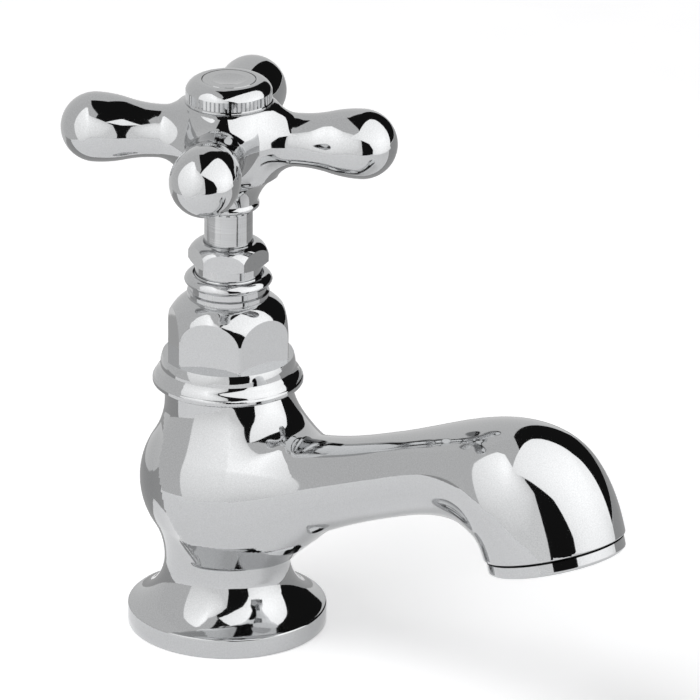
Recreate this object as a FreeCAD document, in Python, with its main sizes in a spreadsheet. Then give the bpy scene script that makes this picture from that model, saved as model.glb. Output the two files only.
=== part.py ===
import FreeCAD, Part
import math
import os
import re
import Sketcher

# Cross handle basin tap with a half inch tail. Millimetres, +Z up.
# The origin is the middle of the foot's underside, where the tap meets its deck.
# The spout points along +X.

os.makedirs("parts", exist_ok=True)
doc = FreeCAD.newDocument("cross_handle_tap")

# ---------------------------------------------------------------- driving sizes

SIZES = {
    # foot, bulb and neck of the body
    "foot_radius": 25.0,
    "foot_wall": 4.7,
    "foot_edge": 0.5,
    "waist_radius": 15.75,
    "waist_height": 17.6,
    "bulb_radius": 21.95,
    "bulb_height": 39.2,
    "neck_radius": 15.7,
    "neck_height": 60.5,
    "body_height": 65.0,
    # spout: circles along a curve that rises from the bulb and turns down to a wide mouth.
    # A share runs from 0 at the root to 1 at the mouth.
    "spout_root_x": 18.0,
    "spout_root_z": 41.6,
    "spout_root_radius": 15.0,
    "spout_root_pull": 55.5,
    "spout_rise": 18.1,
    "spout_buried": 10.0,
    "throat_share": 0.285,
    "throat_radius": 10.35,
    "spout_taper": 2.7,
    "turn_share": 0.22,
    "turn_ease": 1.4,
    "belly_share": 0.82,
    "belly_radius": 17.65,
    "mouth_x": 107.4,
    "mouth_z": 52.1,
    "mouth_pull": 30.2,
    "mouth_radius": 17.4,
    "mouth_tilt": 16.85,
    "spout_blend": 12.0,
    # water ways inside the body
    "inlet_radius": 7.0,
    "seat_radius": 6.35,
    "seat_lip": 1.6,
    "seat_height": 43.0,
    "seat_step": 1.5,
    "chamber_radius": 11.0,
    "chamber_run": 1.0,
    "water_height": 49.2,
    "water_radius": 5.5,
    "water_mouth_radius": 11.0,
    # tail, its seal and what clamps the tap to a deck
    "pipe_thread_radius": 10.4775,
    "thread_clearance": 0.05,
    "tail_length": 48.0,
    "tail_socket": 9.8,
    "tail_bore_radius": 7.0,
    "tail_chamfer": 1.0,
    "inlet_thread_run": 14.0,
    "relief_radius": 9.9,
    "relief_width": 1.0,
    "seal_inner_gap": 0.3,
    "seal_thickness": 1.5,
    "deck_washer_inner": 13.0,
    "deck_washer_outer": 22.0,
    "deck_washer_thickness": 1.6,
    "deck_thickness": 20.0,
    "clamp_washer_radius": 17.0,
    "clamp_washer_thickness": 3.0,
    "backnut_flats": 30.0,
    "backnut_height": 9.0,
    "backnut_flange_radius": 18.5,
    "backnut_flange_height": 2.5,
    "backnut_flange_edge": 1.5,
    "backnut_chamfer": 1.0,
    # Heights and levels from here up to the outlet are measured from the top of the body, so that
    # what is screwed into it moves with it.
    # bonnet: flange, six flats, dome, neck bead
    "shank_length": 10.0,
    "shank_chamfer": 0.6,
    "flange_radius": 18.75,
    "flange_edge": 0.5,
    "flange_lip": 1.6,
    "flange_groove": 0.4,
    "flange_groove_width": 0.1,
    "flange_lip_curve": 0.8,
    "ogee_curve": 4.2,
    "cove_curve": 3.4,
    "cove_radius": 16.8,
    "cove_height": 4.4,
    "rim_radius": 16.1,
    "rim_height": 7.9,
    "rim_drop": 0.6,
    "rim_wall": 0.3,
    "rim_curve": 9.0,
    "bonnet_flats": 27.5,
    "bonnet_turn": 23.6,
    "dome_radius": 15.75,
    "dome_spring": 13.6,
    "dome_curve": 10.0,
    "dome_top_radius": 10.1,
    "neck_step_radius": 10.2,
    "neck_step_height": 23.2,
    "neck_step_rise": 0.9,
    "neck_step_slope": 0.3,
    "neck_groove_radius": 9.6,
    "neck_bead_height": 27.2,
    "neck_bead_radius": 10.95,
    "neck_bead_curve": 1.8,
    "neck_top": 28.8,
    "neck_mouth_edge": 0.5,
    "bonnet_washer_radius": 13.5,
    # gland
    "gland_floor": 23.0,
    "gland_radius": 8.85,
    "gland_washer_thickness": 1.0,
    "gland_packing_thickness": 2.5,
    "gland_nut_flats": 17.4,
    "gland_nut_low": 31.4,
    "gland_nut_high": 37.1,
    "gland_nut_turn": 35.6,
    "gland_nut_skirt_radius": 8.3,
    "gland_nut_round": 3.0,
    "gland_nut_top_curve": 4.8,
    "gland_nut_chamfer": 0.7,
    "gland_nut_bore_edge": 0.3,
    "gland_skirt_chamfer": 0.6,
    "gland_nut_top_radius": 7.0,
    # spindle and valve; the thread's low end is measured from the spindle's bottom
    "spindle_radius": 6.0,
    "spindle_thread_radius": 7.0,
    "spindle_thread_low": 1.95,
    "spindle_thread_high": 7.0,
    "spindle_nose_radius": 5.5,
    "spindle_top": 60.6,
    "spindle_chamfer": 0.6,
    "spindle_lead_in": 1.0,
    "running_clearance": 0.05,
    "valve_lift": 5.6,
    "lift_spare": 0.4,
    "tap_washer_radius": 9.0,
    "tap_washer_thickness": 3.5,
    "jumper_plate_radius": 9.2,
    "jumper_plate_thickness": 1.5,
    "jumper_stem_radius": 2.5,
    "jumper_stem_length": 9.0,
    "jumper_stem_chamfer": 0.5,
    "jumper_socket_spare": 0.5,
    "jumper_socket_cone": 1.0,
    "jumper_stub_radius": 2.0,
    "jumper_stub_end": 0.4,
    "washer_nut_flats": 7.0,
    "washer_nut_height": 2.2,
    "washer_nut_chamfer": 0.1,
    # spline between spindle and handle
    "spline_low": 45.4,
    "spline_depth": 0.55,
    "spline_root_half": 0.7,
    "spline_tip_half": 0.48,
    # cross handle
    "handle_turn": 33.0,
    "arm_height": 64.75,
    "arm_neck_x": 17.5,
    "arm_neck_radius": 6.6,
    "arm_root_x": 6.0,
    "arm_root_radius": 6.7,
    "arm_ball_x": 33.2,
    "arm_ball_radius": 8.65,
    "collar_low": 46.3,
    "collar_radius": 7.6,
    "collar_edge": 0.4,
    "collar_height": 1.6,
    "collar_neck_radius": 7.1,
    "hub_low_height": 55.0,
    "hub_low_radius": 12.0,
    "hub_flare": 12.0,
    "hub_barrel": 36.0,
    "hub_top": 73.7,
    "hub_top_radius": 11.3,
    "hub_blend": 4.0,
    "hub_floor": 61.1,
    "button_thread_radius": 8.5,
    # handle screw
    "screw_radius": 2.0,
    "screw_length": 12.0,
    "screw_tip": 0.4,
    "screw_hole_spare": 1.0,
    "screw_head_radius": 4.2,
    "screw_head_height": 3.0,
    "screw_head_flat": 1.0,
    "screw_head_curve": 2.6,
    "screw_socket": 1.5,
    "screw_slot_reach": 2.1,
    "screw_slot_half_width": 0.5,
    "screw_washer_radius": 8.0,
    "screw_washer_thickness": 0.7,
    "screw_washer_gap": 0.15,
    # index button and its disc
    "button_lip_radius": 10.9,
    "button_lip_height": 0.75,
    "button_radius": 10.65,
    "button_reed_top": 76.9,
    "button_crown": 79.4,
    "button_crown_curve": 3.6,
    "button_plug": 5.0,
    "button_wall": 1.6,
    "button_edge": 0.2,
    "reed_depth": 0.3,
    "reed_half_width": 0.36,
    "reed_stop": 0.1,
    "reed_overshoot": 0.2,
    "disc_radius": 6.6,
    "disc_gap": 0.15,
    "disc_thickness": 1.0,
    "disc_dish": 0.45,
    "disc_dish_radius": 4.2,
    "disc_edge": 0.1,
    # outlet ring and aerator, along the mouth's own axis
    "ring_radius": 16.85,
    "ring_height": 3.0,
    "ring_seam": 0.3,
    "ring_seam_step": 0.4,
    "ring_edge": 0.8,
    "ring_bore": 11.2,
    "mouth_thread_radius": 14.0,
    "mouth_socket": 7.0,
    "outlet_washer_thickness": 1.5,
    "aerator_radius": 12.4,
    "aerator_step": 1.0,
    "aerator_height": 5.6,
    "insert_wall": 1.2,
    "insert_post": 2.2,
    "insert_slot": 3.2,
    "jet_radius": 1.1,
    "jet_ring_radius": 7.69,
    "mesh_thickness": 0.4,
    "mesh_hole": 0.55,
    "mesh_pitch": 2.0,
}

# Counts of what repeats
FLATS = 6
ARMS = 4
SPLINE_TEETH = 20
REEDS = 60
SPOUT_STEPS = 12
WATER_STEPS = 5
MESH_RINGS = 4
SPOKES = 12

sheet = doc.addObject("Spreadsheet::Sheet", "Sizes")
for row, (alias, number) in enumerate(SIZES.items(), start=1):
    sheet.set(f"A{row}", alias)
    sheet.set(f"B{row}", str(number))
    sheet.setAlias(f"B{row}", alias)
doc.recompute()

# Places that follow from the sizes, as expression text.
RULES = {
    "cove_z": "body_height + cove_height",
    "rim_z": "body_height + rim_height",
    "dome_spring_z": "body_height + dome_spring",
    "neck_step_z": "body_height + neck_step_height",
    "neck_bead_z": "body_height + neck_bead_height",
    "neck_top_z": "body_height + neck_top",
    "gland_floor_z": "body_height + gland_floor",
    "gland_nut_low_z": "body_height + gland_nut_low",
    "gland_nut_high_z": "body_height + gland_nut_high",
    "thread_high_z": "body_height + spindle_thread_high",
    "spline_low_z": "body_height + spline_low",
    "spindle_top_z": "body_height + spindle_top",
    "arm_z": "body_height + arm_height",
    "collar_low_z": "body_height + collar_low",
    "hub_low_z": "body_height + hub_low_height",
    "hub_top_z": "body_height + hub_top",
    "hub_floor_z": "body_height + hub_floor",
    "reed_top_z": "body_height + button_reed_top",
    "crown_z": "body_height + button_crown",
    "socket_top": "tail_socket + seal_thickness",
    "chamber_floor": "seat_height - seat_step",
    "chamber_top": "body_height - shank_length + chamber_run",
    "thread_bore": "pipe_thread_radius + thread_clearance",
    "washer_low": "-deck_thickness - clamp_washer_thickness",
    "backnut_low": "washer_low - backnut_height",
    "relief_low": "inlet_thread_run - tail_length",
    "relief_high": "relief_low + relief_width",
    "plate_low": "seat_height + tap_washer_thickness",
    "plate_high": "plate_low + jumper_plate_thickness",
    "spindle_bottom": "plate_high + running_clearance",
    "thread_low_z": "spindle_bottom + spindle_thread_low",
    "shoulder": "thread_high_z + valve_lift + lift_spare",
    "packing_low": "gland_floor_z + gland_washer_thickness",
    "packing_high": "packing_low + gland_packing_thickness",
    "screw_seat": "hub_floor_z + screw_washer_thickness",
    "reed_high": "reed_top_z - reed_stop",
    "ring_low": "-ring_seam - ring_height",
    "insert_low": "ring_low + aerator_step",
    "insert_high": "insert_low + aerator_height",
}


def bound(text):
    """Expression text in which every size and rule name is spelled out."""

    def spell(match):
        word = match.group(0)
        if word in SIZES:
            return f"Sizes.{word}"
        if word in RULES:
            return f"({bound(RULES[word])})"
        return word

    return re.sub(r"[a-z_]+[a-z0-9_]*", spell, text)


def value(text):
    """The number that an expression gives now."""
    result = sheet.evalExpression(bound(text))
    return float(getattr(result, "Value", result))


# ------------------------------------------------------------- sketch helpers


def origin_plane(body, role):
    """One of a body's own origin planes."""
    return next(item for item in body.Origin.OriginFeatures if item.Role == role)


def new_body(label):
    """An empty body whose label is the node's name."""
    body = doc.addObject("PartDesign::Body", label)
    body.Label = label
    return body


def new_sketch(body, name, role="XZ_Plane", lift=None, tilt=None):
    """A sketch on an origin plane, moved by expression text.

    lift gives the offset along the plane's own x, y and normal; tilt turns it about its x.
    """
    sketch = body.newObject("Sketcher::SketchObject", name)
    sketch.AttachmentSupport = [(origin_plane(body, role), "")]
    sketch.MapMode = "FlatFace"
    if tilt is not None:
        sign = 1 if value(tilt) >= 0 else -1
        turned = FreeCAD.Rotation(FreeCAD.Vector(sign, 0, 0), abs(value(tilt)))
        sketch.AttachmentOffset = FreeCAD.Placement(FreeCAD.Vector(), turned)
        sketch.setExpression(".AttachmentOffset.Rotation.Angle", bound(f"{sign} * ({tilt})"))
    for axis, text in zip("xyz", lift or ()):
        if text != "0":
            sketch.setExpression(f".AttachmentOffset.Base.{axis}", bound(text))
    return sketch


def pin_point(sketch, edge, end, x, y):
    """Fix a sketch point at expression text x, y."""
    for kind, axis, text in (("DistanceX", -2, x), ("DistanceY", -1, y)):
        if text == "0":
            sketch.addConstraint(Sketcher.Constraint("PointOnObject", edge, end, axis))
            continue
        number = value(text)
        index = sketch.addConstraint(Sketcher.Constraint(kind, -1, 1, edge, end, number))
        sketch.setExpression(f"Constraints[{index}]", bound(text))


def draw_loop(sketch, corners):
    """A closed outline. A corner is (x, y), or (x, y, radius, side) when an arc leads to it.

    side is +1 when the arc turns left on its way to the corner and -1 when it turns right.
    """
    points = [FreeCAD.Vector(value(c[0]), value(c[1]), 0) for c in corners]
    ends = []
    for number, corner in enumerate(corners):
        start, finish = points[number - 1], points[number]
        if len(corner) == 2:
            edge = sketch.addGeometry(Part.LineSegment(start, finish), False)
            ends.append((edge, 1, 2))
            continue
        radius, side = value(corner[2]), corner[3]
        chord = finish - start
        left = FreeCAD.Vector(-chord.y, chord.x, 0).normalize()
        sagitta_side = math.sqrt(max(radius**2 - (chord.Length / 2) ** 2, 0))
        centre = (start + finish) * 0.5 + left * (side * sagitta_side)
        first, last = (start, finish) if side > 0 else (finish, start)
        angles = [math.atan2(p.y - centre.y, p.x - centre.x) for p in (first, last)]
        circle = Part.Circle(centre, FreeCAD.Vector(0, 0, 1), radius)
        edge = sketch.addGeometry(Part.ArcOfCircle(circle, *angles), False)
        ends.append((edge, 1, 2) if side > 0 else (edge, 2, 1))
        index = sketch.addConstraint(Sketcher.Constraint("Radius", edge, radius))
        sketch.setExpression(f"Constraints[{index}]", bound(corner[2]))
    for number, corner in enumerate(corners):
        arriving = ends[number]
        leaving = ends[(number + 1) % len(ends)]
        sketch.addConstraint(
            Sketcher.Constraint("Coincident", arriving[0], arriving[2], leaving[0], leaving[1])
        )
        pin_point(sketch, leaving[0], leaving[1], corner[0], corner[1])


def draw_circle(sketch, radius, x="0", y="0"):
    """A circle of expression text radius about x, y."""
    centre = FreeCAD.Vector(value(x), value(y), 0)
    circle = Part.Circle(centre, FreeCAD.Vector(0, 0, 1), value(radius))
    edge = sketch.addGeometry(circle, False)
    pin_point(sketch, edge, 3, x, y)
    index = sketch.addConstraint(Sketcher.Constraint("Radius", edge, value(radius)))
    sketch.setExpression(f"Constraints[{index}]", bound(radius))


def quartered_circle(radius):
    """A circle of four arcs about the origin, the first one leaving its top."""
    return [
        (f"-1 * {radius}", "0", radius, 1),
        ("0", f"-1 * {radius}", radius, 1),
        (radius, "0", radius, 1),
        ("0", radius, radius, 1),
    ]


def revolve(body, sketch, name="turned", axis="V_Axis", cut=False):
    """A full turn of a sketch about one of its own axes."""
    feature = body.newObject("PartDesign::Groove" if cut else "PartDesign::Revolution", name)
    feature.Profile = (sketch, [""])
    feature.ReferenceAxis = (sketch, [axis])
    feature.Angle = 360
    sketch.Visibility = False
    return feature


def pocket(body, sketch, depth, name):
    """A cut from a sketch against its normal, of expression text depth."""
    feature = body.newObject("PartDesign::Pocket", name)
    feature.Profile = (sketch, [""])
    feature.setExpression("Length", bound(depth))
    sketch.Visibility = False
    return feature


def pad(body, sketch, height, name):
    """A raised block from a sketch along its normal, of expression text height."""
    feature = body.newObject("PartDesign::Pad", name)
    feature.Profile = (sketch, [""])
    feature.setExpression("Length", bound(height))
    sketch.Visibility = False
    return feature


def repeat(body, feature, count, sketch, name):
    """Copies of a feature about the normal of its sketch."""
    pattern = body.newObject("PartDesign::PolarPattern", name)
    pattern.Originals = [feature]
    pattern.Axis = (sketch, ["N_Axis"])
    pattern.Angle = 360
    pattern.Occurrences = count
    body.Tip = pattern
    return pattern


def turned_body(label, corners):
    """A body turned about Z from its half section, given as radius and height."""
    body = new_body(label)
    sketch = new_sketch(body, f"{label}_section")
    draw_loop(sketch, corners)
    revolve(body, sketch, f"{label}_turned")
    return body


def ring_corners(inner, outer, low, high):
    """A plain ring's half section."""
    return [(inner, low), (outer, low), (outer, high), (inner, high)]


def hexagon_corners(flats):
    """A hexagon across expression text flats, with a corner on +X."""
    corner = f"({flats}) / 2 / cos(30)"
    return [
        (f"{corner} * cos({60 * step})", f"{corner} * sin({60 * step})")
        if step % 3
        else (f"{corner} * cos({60 * step})", "0")
        for step in range(FLATS)
    ]


def trim_to_hexagon(body, flats, low, high, name):
    """Mill six flats between two heights."""
    sketch = new_sketch(body, f"{name}_outline", "XY_Plane", lift=("0", "0", high))
    draw_circle(sketch, f"{flats} * 0.5 + foot_radius")
    draw_loop(sketch, hexagon_corners(flats))
    pocket(body, sketch, f"({high}) - ({low})", name)


def turn_about_z(body, angle):
    """Turn a finished body about Z by expression text angle."""
    body.Placement = FreeCAD.Placement(
        FreeCAD.Vector(), FreeCAD.Rotation(FreeCAD.Vector(0, 0, 1), value(angle))
    )
    body.setExpression(".Placement.Rotation.Angle", bound(angle))


def swell(radius_a, height_a, radius_b, height_b):
    """Radius of the two equal arcs of an S between two upright tangents."""
    rise, run = f"({height_b} - {height_a})", f"({radius_b} - {radius_a})"
    return f"({rise} * {rise} + {run} * {run}) / (4 * abs({run}))"


def middle(a, b):
    """Half way between two expression texts."""
    return f"({a} + {b}) / 2"


# -------------------------------------------------------------- body and spout


def along(share, start, start_pull, end_pull, end):
    """A cubic curve's coordinate at a share of the way, from its four control values."""
    rest = f"(1 - {share})"
    return (
        f"({rest}^3 * ({start}) + 3 * {share} * {rest}^2 * ({start_pull})"
        f" + 3 * {share}^2 * {rest} * ({end_pull}) + {share}^3 * ({end}))"
    )


def spout_line(share):
    """Place and tilt of the spout's section at a share of the way, as expression text."""
    x = along(
        share,
        "spout_root_x",
        "spout_root_x + spout_root_pull * cos(spout_rise)",
        "mouth_x - mouth_pull * sin(mouth_tilt)",
        "mouth_x",
    )
    height = along(
        share,
        "spout_root_z",
        "spout_root_z + spout_root_pull * sin(spout_rise)",
        "mouth_z + mouth_pull * cos(mouth_tilt)",
        "mouth_z",
    )
    if value(share) <= value("turn_share"):
        return x, height, "spout_rise"
    turned = f"(({share} - turn_share) / (1 - turn_share))^turn_ease"
    return x, height, f"(spout_rise - (spout_rise + 90 - mouth_tilt) * {turned})"


def spout_radius(share):
    """Radius of the spout's skin: it narrows to the throat and swells to the mouth."""
    if value(share) <= value("throat_share"):
        left = f"abs(1 - {share} / throat_share)^spout_taper"
        return f"(throat_radius + (spout_root_radius - throat_radius) * {left})"
    if value(share) <= value("belly_share"):
        done = f"(({share} - throat_share) / (belly_share - throat_share))"
        swollen = f"(0.5 - 0.5 * cos(180 * {done}))"
        return f"(throat_radius + (belly_radius - throat_radius) * {swollen})"
    past = f"(({share} - belly_share) / (1 - belly_share))^2"
    return f"(belly_radius + (mouth_radius - belly_radius) * {past})"


def spout_stations():
    """All stations of the spout's skin, from inside the bulb to the mouth."""
    stations = [
        (
            "(spout_root_x - spout_buried)",
            "(spout_root_z - spout_buried * tan(spout_rise))",
            "spout_rise",
            "spout_root_radius",
        )
    ]
    for step in range(SPOUT_STEPS + 1):
        share = f"({step} / {SPOUT_STEPS})"
        stations.append((*spout_line(share), spout_radius(share)))
    return stations


def water_stations():
    """Stations of the water way, from the valve chamber to the mouth's socket."""
    stations = [
        ("(chamber_radius / 2)", "water_height", "0", "water_radius"),
        ("(chamber_radius * 2)", "water_height", "0", "water_radius"),
    ]
    for step in range(WATER_STEPS + 1):
        done = f"({step} / {WATER_STEPS})"
        share = f"(throat_share + (1 - throat_share) * {done})"
        radius = f"(water_radius + (water_mouth_radius - water_radius) * sin(90 * {done}))"
        stations.append((*spout_line(share), radius))
    return stations


def loft(body, stations, kind, name):
    """A smooth loft through circles set across the spout's line."""
    sketches = []
    for number, (x, height, tilt, radius) in enumerate(stations):
        sketch = new_sketch(
            body,
            f"{name}_{number}",
            "YZ_Plane",
            lift=("0", height, x),
            tilt=f"-1 * ({tilt})",
        )
        draw_loop(sketch, quartered_circle(radius))
        sketch.Visibility = False
        sketches.append(sketch)
    feature = body.newObject(kind, name)
    feature.Profile = (sketches[0], [""])
    feature.Sections = [(sketch, [""]) for sketch in sketches[1:]]
    feature.Ruled = False
    feature.Closed = False
    return feature


def make_tap_body():
    """Foot, waist, bulb and neck turned in one, with the spout lofted on and bored out."""
    body = new_body("tap_body")
    section = new_sketch(body, "outer_section")
    flare_rise = "(waist_height - foot_wall - foot_edge)"
    flare_run = "(foot_radius - foot_edge - waist_radius)"
    flare = f"({flare_rise} * {flare_rise} + {flare_run} * {flare_run}) / (2 * {flare_run})"
    waist_to_bulb = swell("waist_radius", "waist_height", "bulb_radius", "bulb_height")
    bulb_to_neck = swell("bulb_radius", "bulb_height", "neck_radius", "neck_height")
    draw_loop(
        section,
        [
            ("0", "0"),
            ("foot_radius", "0"),
            ("foot_radius", "foot_wall"),
            ("foot_radius - foot_edge", "foot_wall + foot_edge", "foot_edge", 1),
            ("waist_radius", "waist_height", flare, -1),
            (
                middle("waist_radius", "bulb_radius"),
                middle("waist_height", "bulb_height"),
                waist_to_bulb,
                -1,
            ),
            ("bulb_radius", "bulb_height", waist_to_bulb, 1),
            (
                middle("bulb_radius", "neck_radius"),
                middle("bulb_height", "neck_height"),
                bulb_to_neck,
                1,
            ),
            ("neck_radius", "neck_height", bulb_to_neck, -1),
            ("neck_radius", "body_height"),
            ("0", "body_height"),
        ],
    )
    revolve(body, section, "foot_and_bulb")
    loft(body, spout_stations(), "PartDesign::AdditiveLoft", "spout")
    doc.recompute()
    blend_spout(body)
    loft(body, water_stations(), "PartDesign::SubtractiveLoft", "spout_water_way")

    bores = new_sketch(body, "bore_section")
    draw_loop(
        bores,
        [
            ("0", "0"),
            ("thread_bore", "0"),
            ("thread_bore", "socket_top"),
            ("inlet_radius", "socket_top"),
            ("inlet_radius", "chamber_floor - seat_step"),
            ("seat_radius", "chamber_floor"),
            ("seat_radius", "seat_height"),
            ("seat_radius + seat_lip", "seat_height"),
            ("seat_radius + seat_lip", "chamber_floor"),
            ("chamber_radius", "chamber_floor"),
            ("chamber_radius", "chamber_top"),
            ("thread_bore", "chamber_top"),
            ("thread_bore", "body_height - seal_thickness"),
            ("bonnet_washer_radius", "body_height - seal_thickness"),
            ("bonnet_washer_radius", "body_height"),
            ("0", "body_height"),
        ],
    )
    revolve(body, bores, "bores", cut=True)

    recess = new_sketch(body, "deck_washer_section")
    draw_loop(
        recess,
        ring_corners("deck_washer_inner", "deck_washer_outer", "0", "deck_washer_thickness"),
    )
    revolve(body, recess, "deck_washer_recess", cut=True)

    socket = new_sketch(
        body,
        "mouth_socket_circle",
        "YZ_Plane",
        lift=("0", "mouth_z", "mouth_x"),
        tilt="90 - mouth_tilt",
    )
    draw_circle(socket, "mouth_thread_radius + thread_clearance")
    pocket(body, socket, "mouth_socket", "mouth_socket")
    return body


def blend_spout(body):
    """Round the crease where the spout leaves the bulb."""
    base = body.Tip
    crease = [
        f"Edge{number}"
        for number, edge in enumerate(base.Shape.Edges, start=1)
        if edge.Curve.TypeId == "Part::GeomBSplineCurve"
        and edge.BoundBox.XMax < value("spout_root_x") * 2
    ]
    feature = body.newObject("PartDesign::Fillet", "spout_blend")
    feature.Base = (base, crease)
    feature.setExpression("Radius", bound("spout_blend"))


# ------------------------------------------------- tail and what clamps the tap


def make_tail_group():
    """Tail, its seal, the deck washer, the clamp washer and the backnut."""
    turned_body(
        "threaded_tail",
        [
            ("tail_bore_radius", "-tail_length"),
            ("pipe_thread_radius - tail_chamfer", "-tail_length"),
            ("pipe_thread_radius", "-tail_length + tail_chamfer"),
            ("pipe_thread_radius", "relief_low"),
            ("relief_radius", "relief_low"),
            ("relief_radius", "relief_high"),
            ("pipe_thread_radius", "relief_high"),
            ("pipe_thread_radius", "tail_socket"),
            ("tail_bore_radius", "tail_socket"),
        ],
    )
    turned_body(
        "tail_seal",
        ring_corners(
            "tail_bore_radius + seal_inner_gap",
            "pipe_thread_radius",
            "tail_socket",
            "socket_top",
        ),
    )
    turned_body(
        "deck_washer",
        ring_corners("deck_washer_inner", "deck_washer_outer", "0", "deck_washer_thickness"),
    )
    turned_body(
        "backnut_washer",
        ring_corners("thread_bore", "clamp_washer_radius", "washer_low", "-deck_thickness"),
    )
    nut = turned_body(
        "backnut",
        [
            ("thread_bore", "backnut_low"),
            ("backnut_flats * 0.5", "backnut_low"),
            ("backnut_flange_radius - backnut_flange_height", "backnut_low + backnut_chamfer"),
            (
                "backnut_flange_radius - backnut_flange_height",
                "washer_low - backnut_flange_height",
            ),
            ("backnut_flange_radius", "washer_low - backnut_flange_edge"),
            ("backnut_flange_radius", "washer_low"),
            ("thread_bore", "washer_low"),
        ],
    )
    trim_to_hexagon(
        nut,
        "backnut_flats",
        "backnut_low",
        "washer_low - backnut_flange_height",
        "backnut_flats_cut",
    )


# ---------------------------------------------------------- bonnet and its gland


def make_bonnet():
    """Headgear body: threaded shank, flange, six flats, dome and neck, bored through."""
    lip_top = "body_height + flange_lip"
    groove = "flange_radius - flange_groove"
    groove_top = f"{lip_top} + flange_groove_width"
    dome_end = "dome_spring_z + sqrt(dome_curve^2 - (dome_curve - dome_radius + dome_top_radius)^2)"
    bonnet = turned_body(
        "bonnet",
        [
            ("spindle_thread_radius + running_clearance", "body_height - shank_length"),
            ("pipe_thread_radius - shank_chamfer", "body_height - shank_length"),
            ("pipe_thread_radius", "body_height - shank_length + shank_chamfer"),
            ("pipe_thread_radius", "body_height"),
            ("flange_radius - flange_edge", "body_height"),
            ("flange_radius", "body_height + flange_edge", "flange_edge", 1),
            ("flange_radius", f"{lip_top} - flange_edge"),
            (groove, groove_top, "flange_lip_curve", 1),
            (
                middle("cove_radius", f"({groove})"),
                middle("cove_z", f"({groove_top})"),
                "ogee_curve",
                1,
            ),
            ("cove_radius", "cove_z", "cove_curve", -1),
            ("rim_radius", "rim_z", "rim_curve", 1),
            ("rim_radius - rim_wall", "rim_z"),
            ("rim_radius - rim_wall", "rim_z - rim_drop"),
            ("dome_radius", "rim_z - rim_drop"),
            ("dome_radius", "dome_spring_z"),
            ("dome_top_radius", dome_end, "dome_curve", 1),
            ("neck_step_radius", "neck_step_z"),
            ("neck_step_radius", "neck_step_z + neck_step_rise"),
            ("neck_groove_radius", "neck_step_z + neck_step_rise + neck_step_slope"),
            ("neck_groove_radius", "neck_bead_z - neck_bead_curve * 0.75"),
            ("neck_bead_radius", "neck_bead_z", "neck_bead_curve", 1),
            ("gland_radius + neck_mouth_edge", "neck_top_z", "neck_bead_curve * 1.15", 1),
            ("gland_radius", "neck_top_z"),
            ("gland_radius", "gland_floor_z"),
            ("spindle_radius + running_clearance", "gland_floor_z"),
            ("spindle_radius + running_clearance", "shoulder"),
            ("spindle_thread_radius + running_clearance", "shoulder"),
        ],
    )
    flats_low = "rim_z - rim_drop"
    trim_to_hexagon(bonnet, "bonnet_flats", flats_low, "gland_floor_z", "bonnet_flats_cut")
    turn_about_z(bonnet, "bonnet_turn")
    turned_body(
        "bonnet_washer",
        ring_corners(
            "thread_bore",
            "bonnet_washer_radius - thread_clearance",
            "body_height - seal_thickness",
            "body_height",
        ),
    )


def make_gland():
    """Washer, packing and hexagon nut round the spindle."""
    around = "spindle_radius + running_clearance"
    inside = "gland_radius - thread_clearance"
    turned_body("gland_washer", ring_corners(around, inside, "gland_floor_z", "packing_low"))
    turned_body("gland_packing", ring_corners(around, inside, "packing_low", "packing_high"))
    edge = "gland_nut_flats * 0.5 / cos(30)"
    nut = turned_body(
        "gland_nut",
        [
            (around, "packing_high"),
            (inside, "packing_high"),
            (inside, "neck_top_z - gland_skirt_chamfer"),
            ("gland_nut_skirt_radius", "neck_top_z"),
            ("gland_nut_skirt_radius", "gland_nut_low_z"),
            ("gland_nut_flats * 0.5", "gland_nut_low_z"),
            (edge, "gland_nut_low_z + gland_nut_chamfer"),
            (edge, "gland_nut_high_z - gland_nut_round"),
            ("gland_nut_top_radius", "gland_nut_high_z", "gland_nut_top_curve", 1),
            (f"{around} + gland_nut_bore_edge", "gland_nut_high_z"),
            (around, "gland_nut_high_z - gland_nut_bore_edge"),
        ],
    )
    trim_to_hexagon(nut, "gland_nut_flats", "gland_nut_low_z", "gland_nut_high_z", "gland_flats_cut")
    turn_about_z(nut, "gland_nut_turn")


# ------------------------------------------------------------ spindle and valve


def spline_sketch(body, name, height, grow):
    """One tooth of the spline from above, wider all round by expression text grow."""
    sketch = new_sketch(body, name, "XY_Plane", lift=("0", "0", height))
    inner, tip = "spindle_radius - 2 * spline_depth", f"spindle_radius + {grow}"
    draw_loop(
        sketch,
        [
            (inner, f"-1 * (spline_root_half + {grow})"),
            (tip, f"-1 * (spline_tip_half + {grow})"),
            (tip, f"spline_tip_half + {grow}"),
            (inner, f"spline_root_half + {grow}"),
        ],
    )
    return sketch


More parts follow.
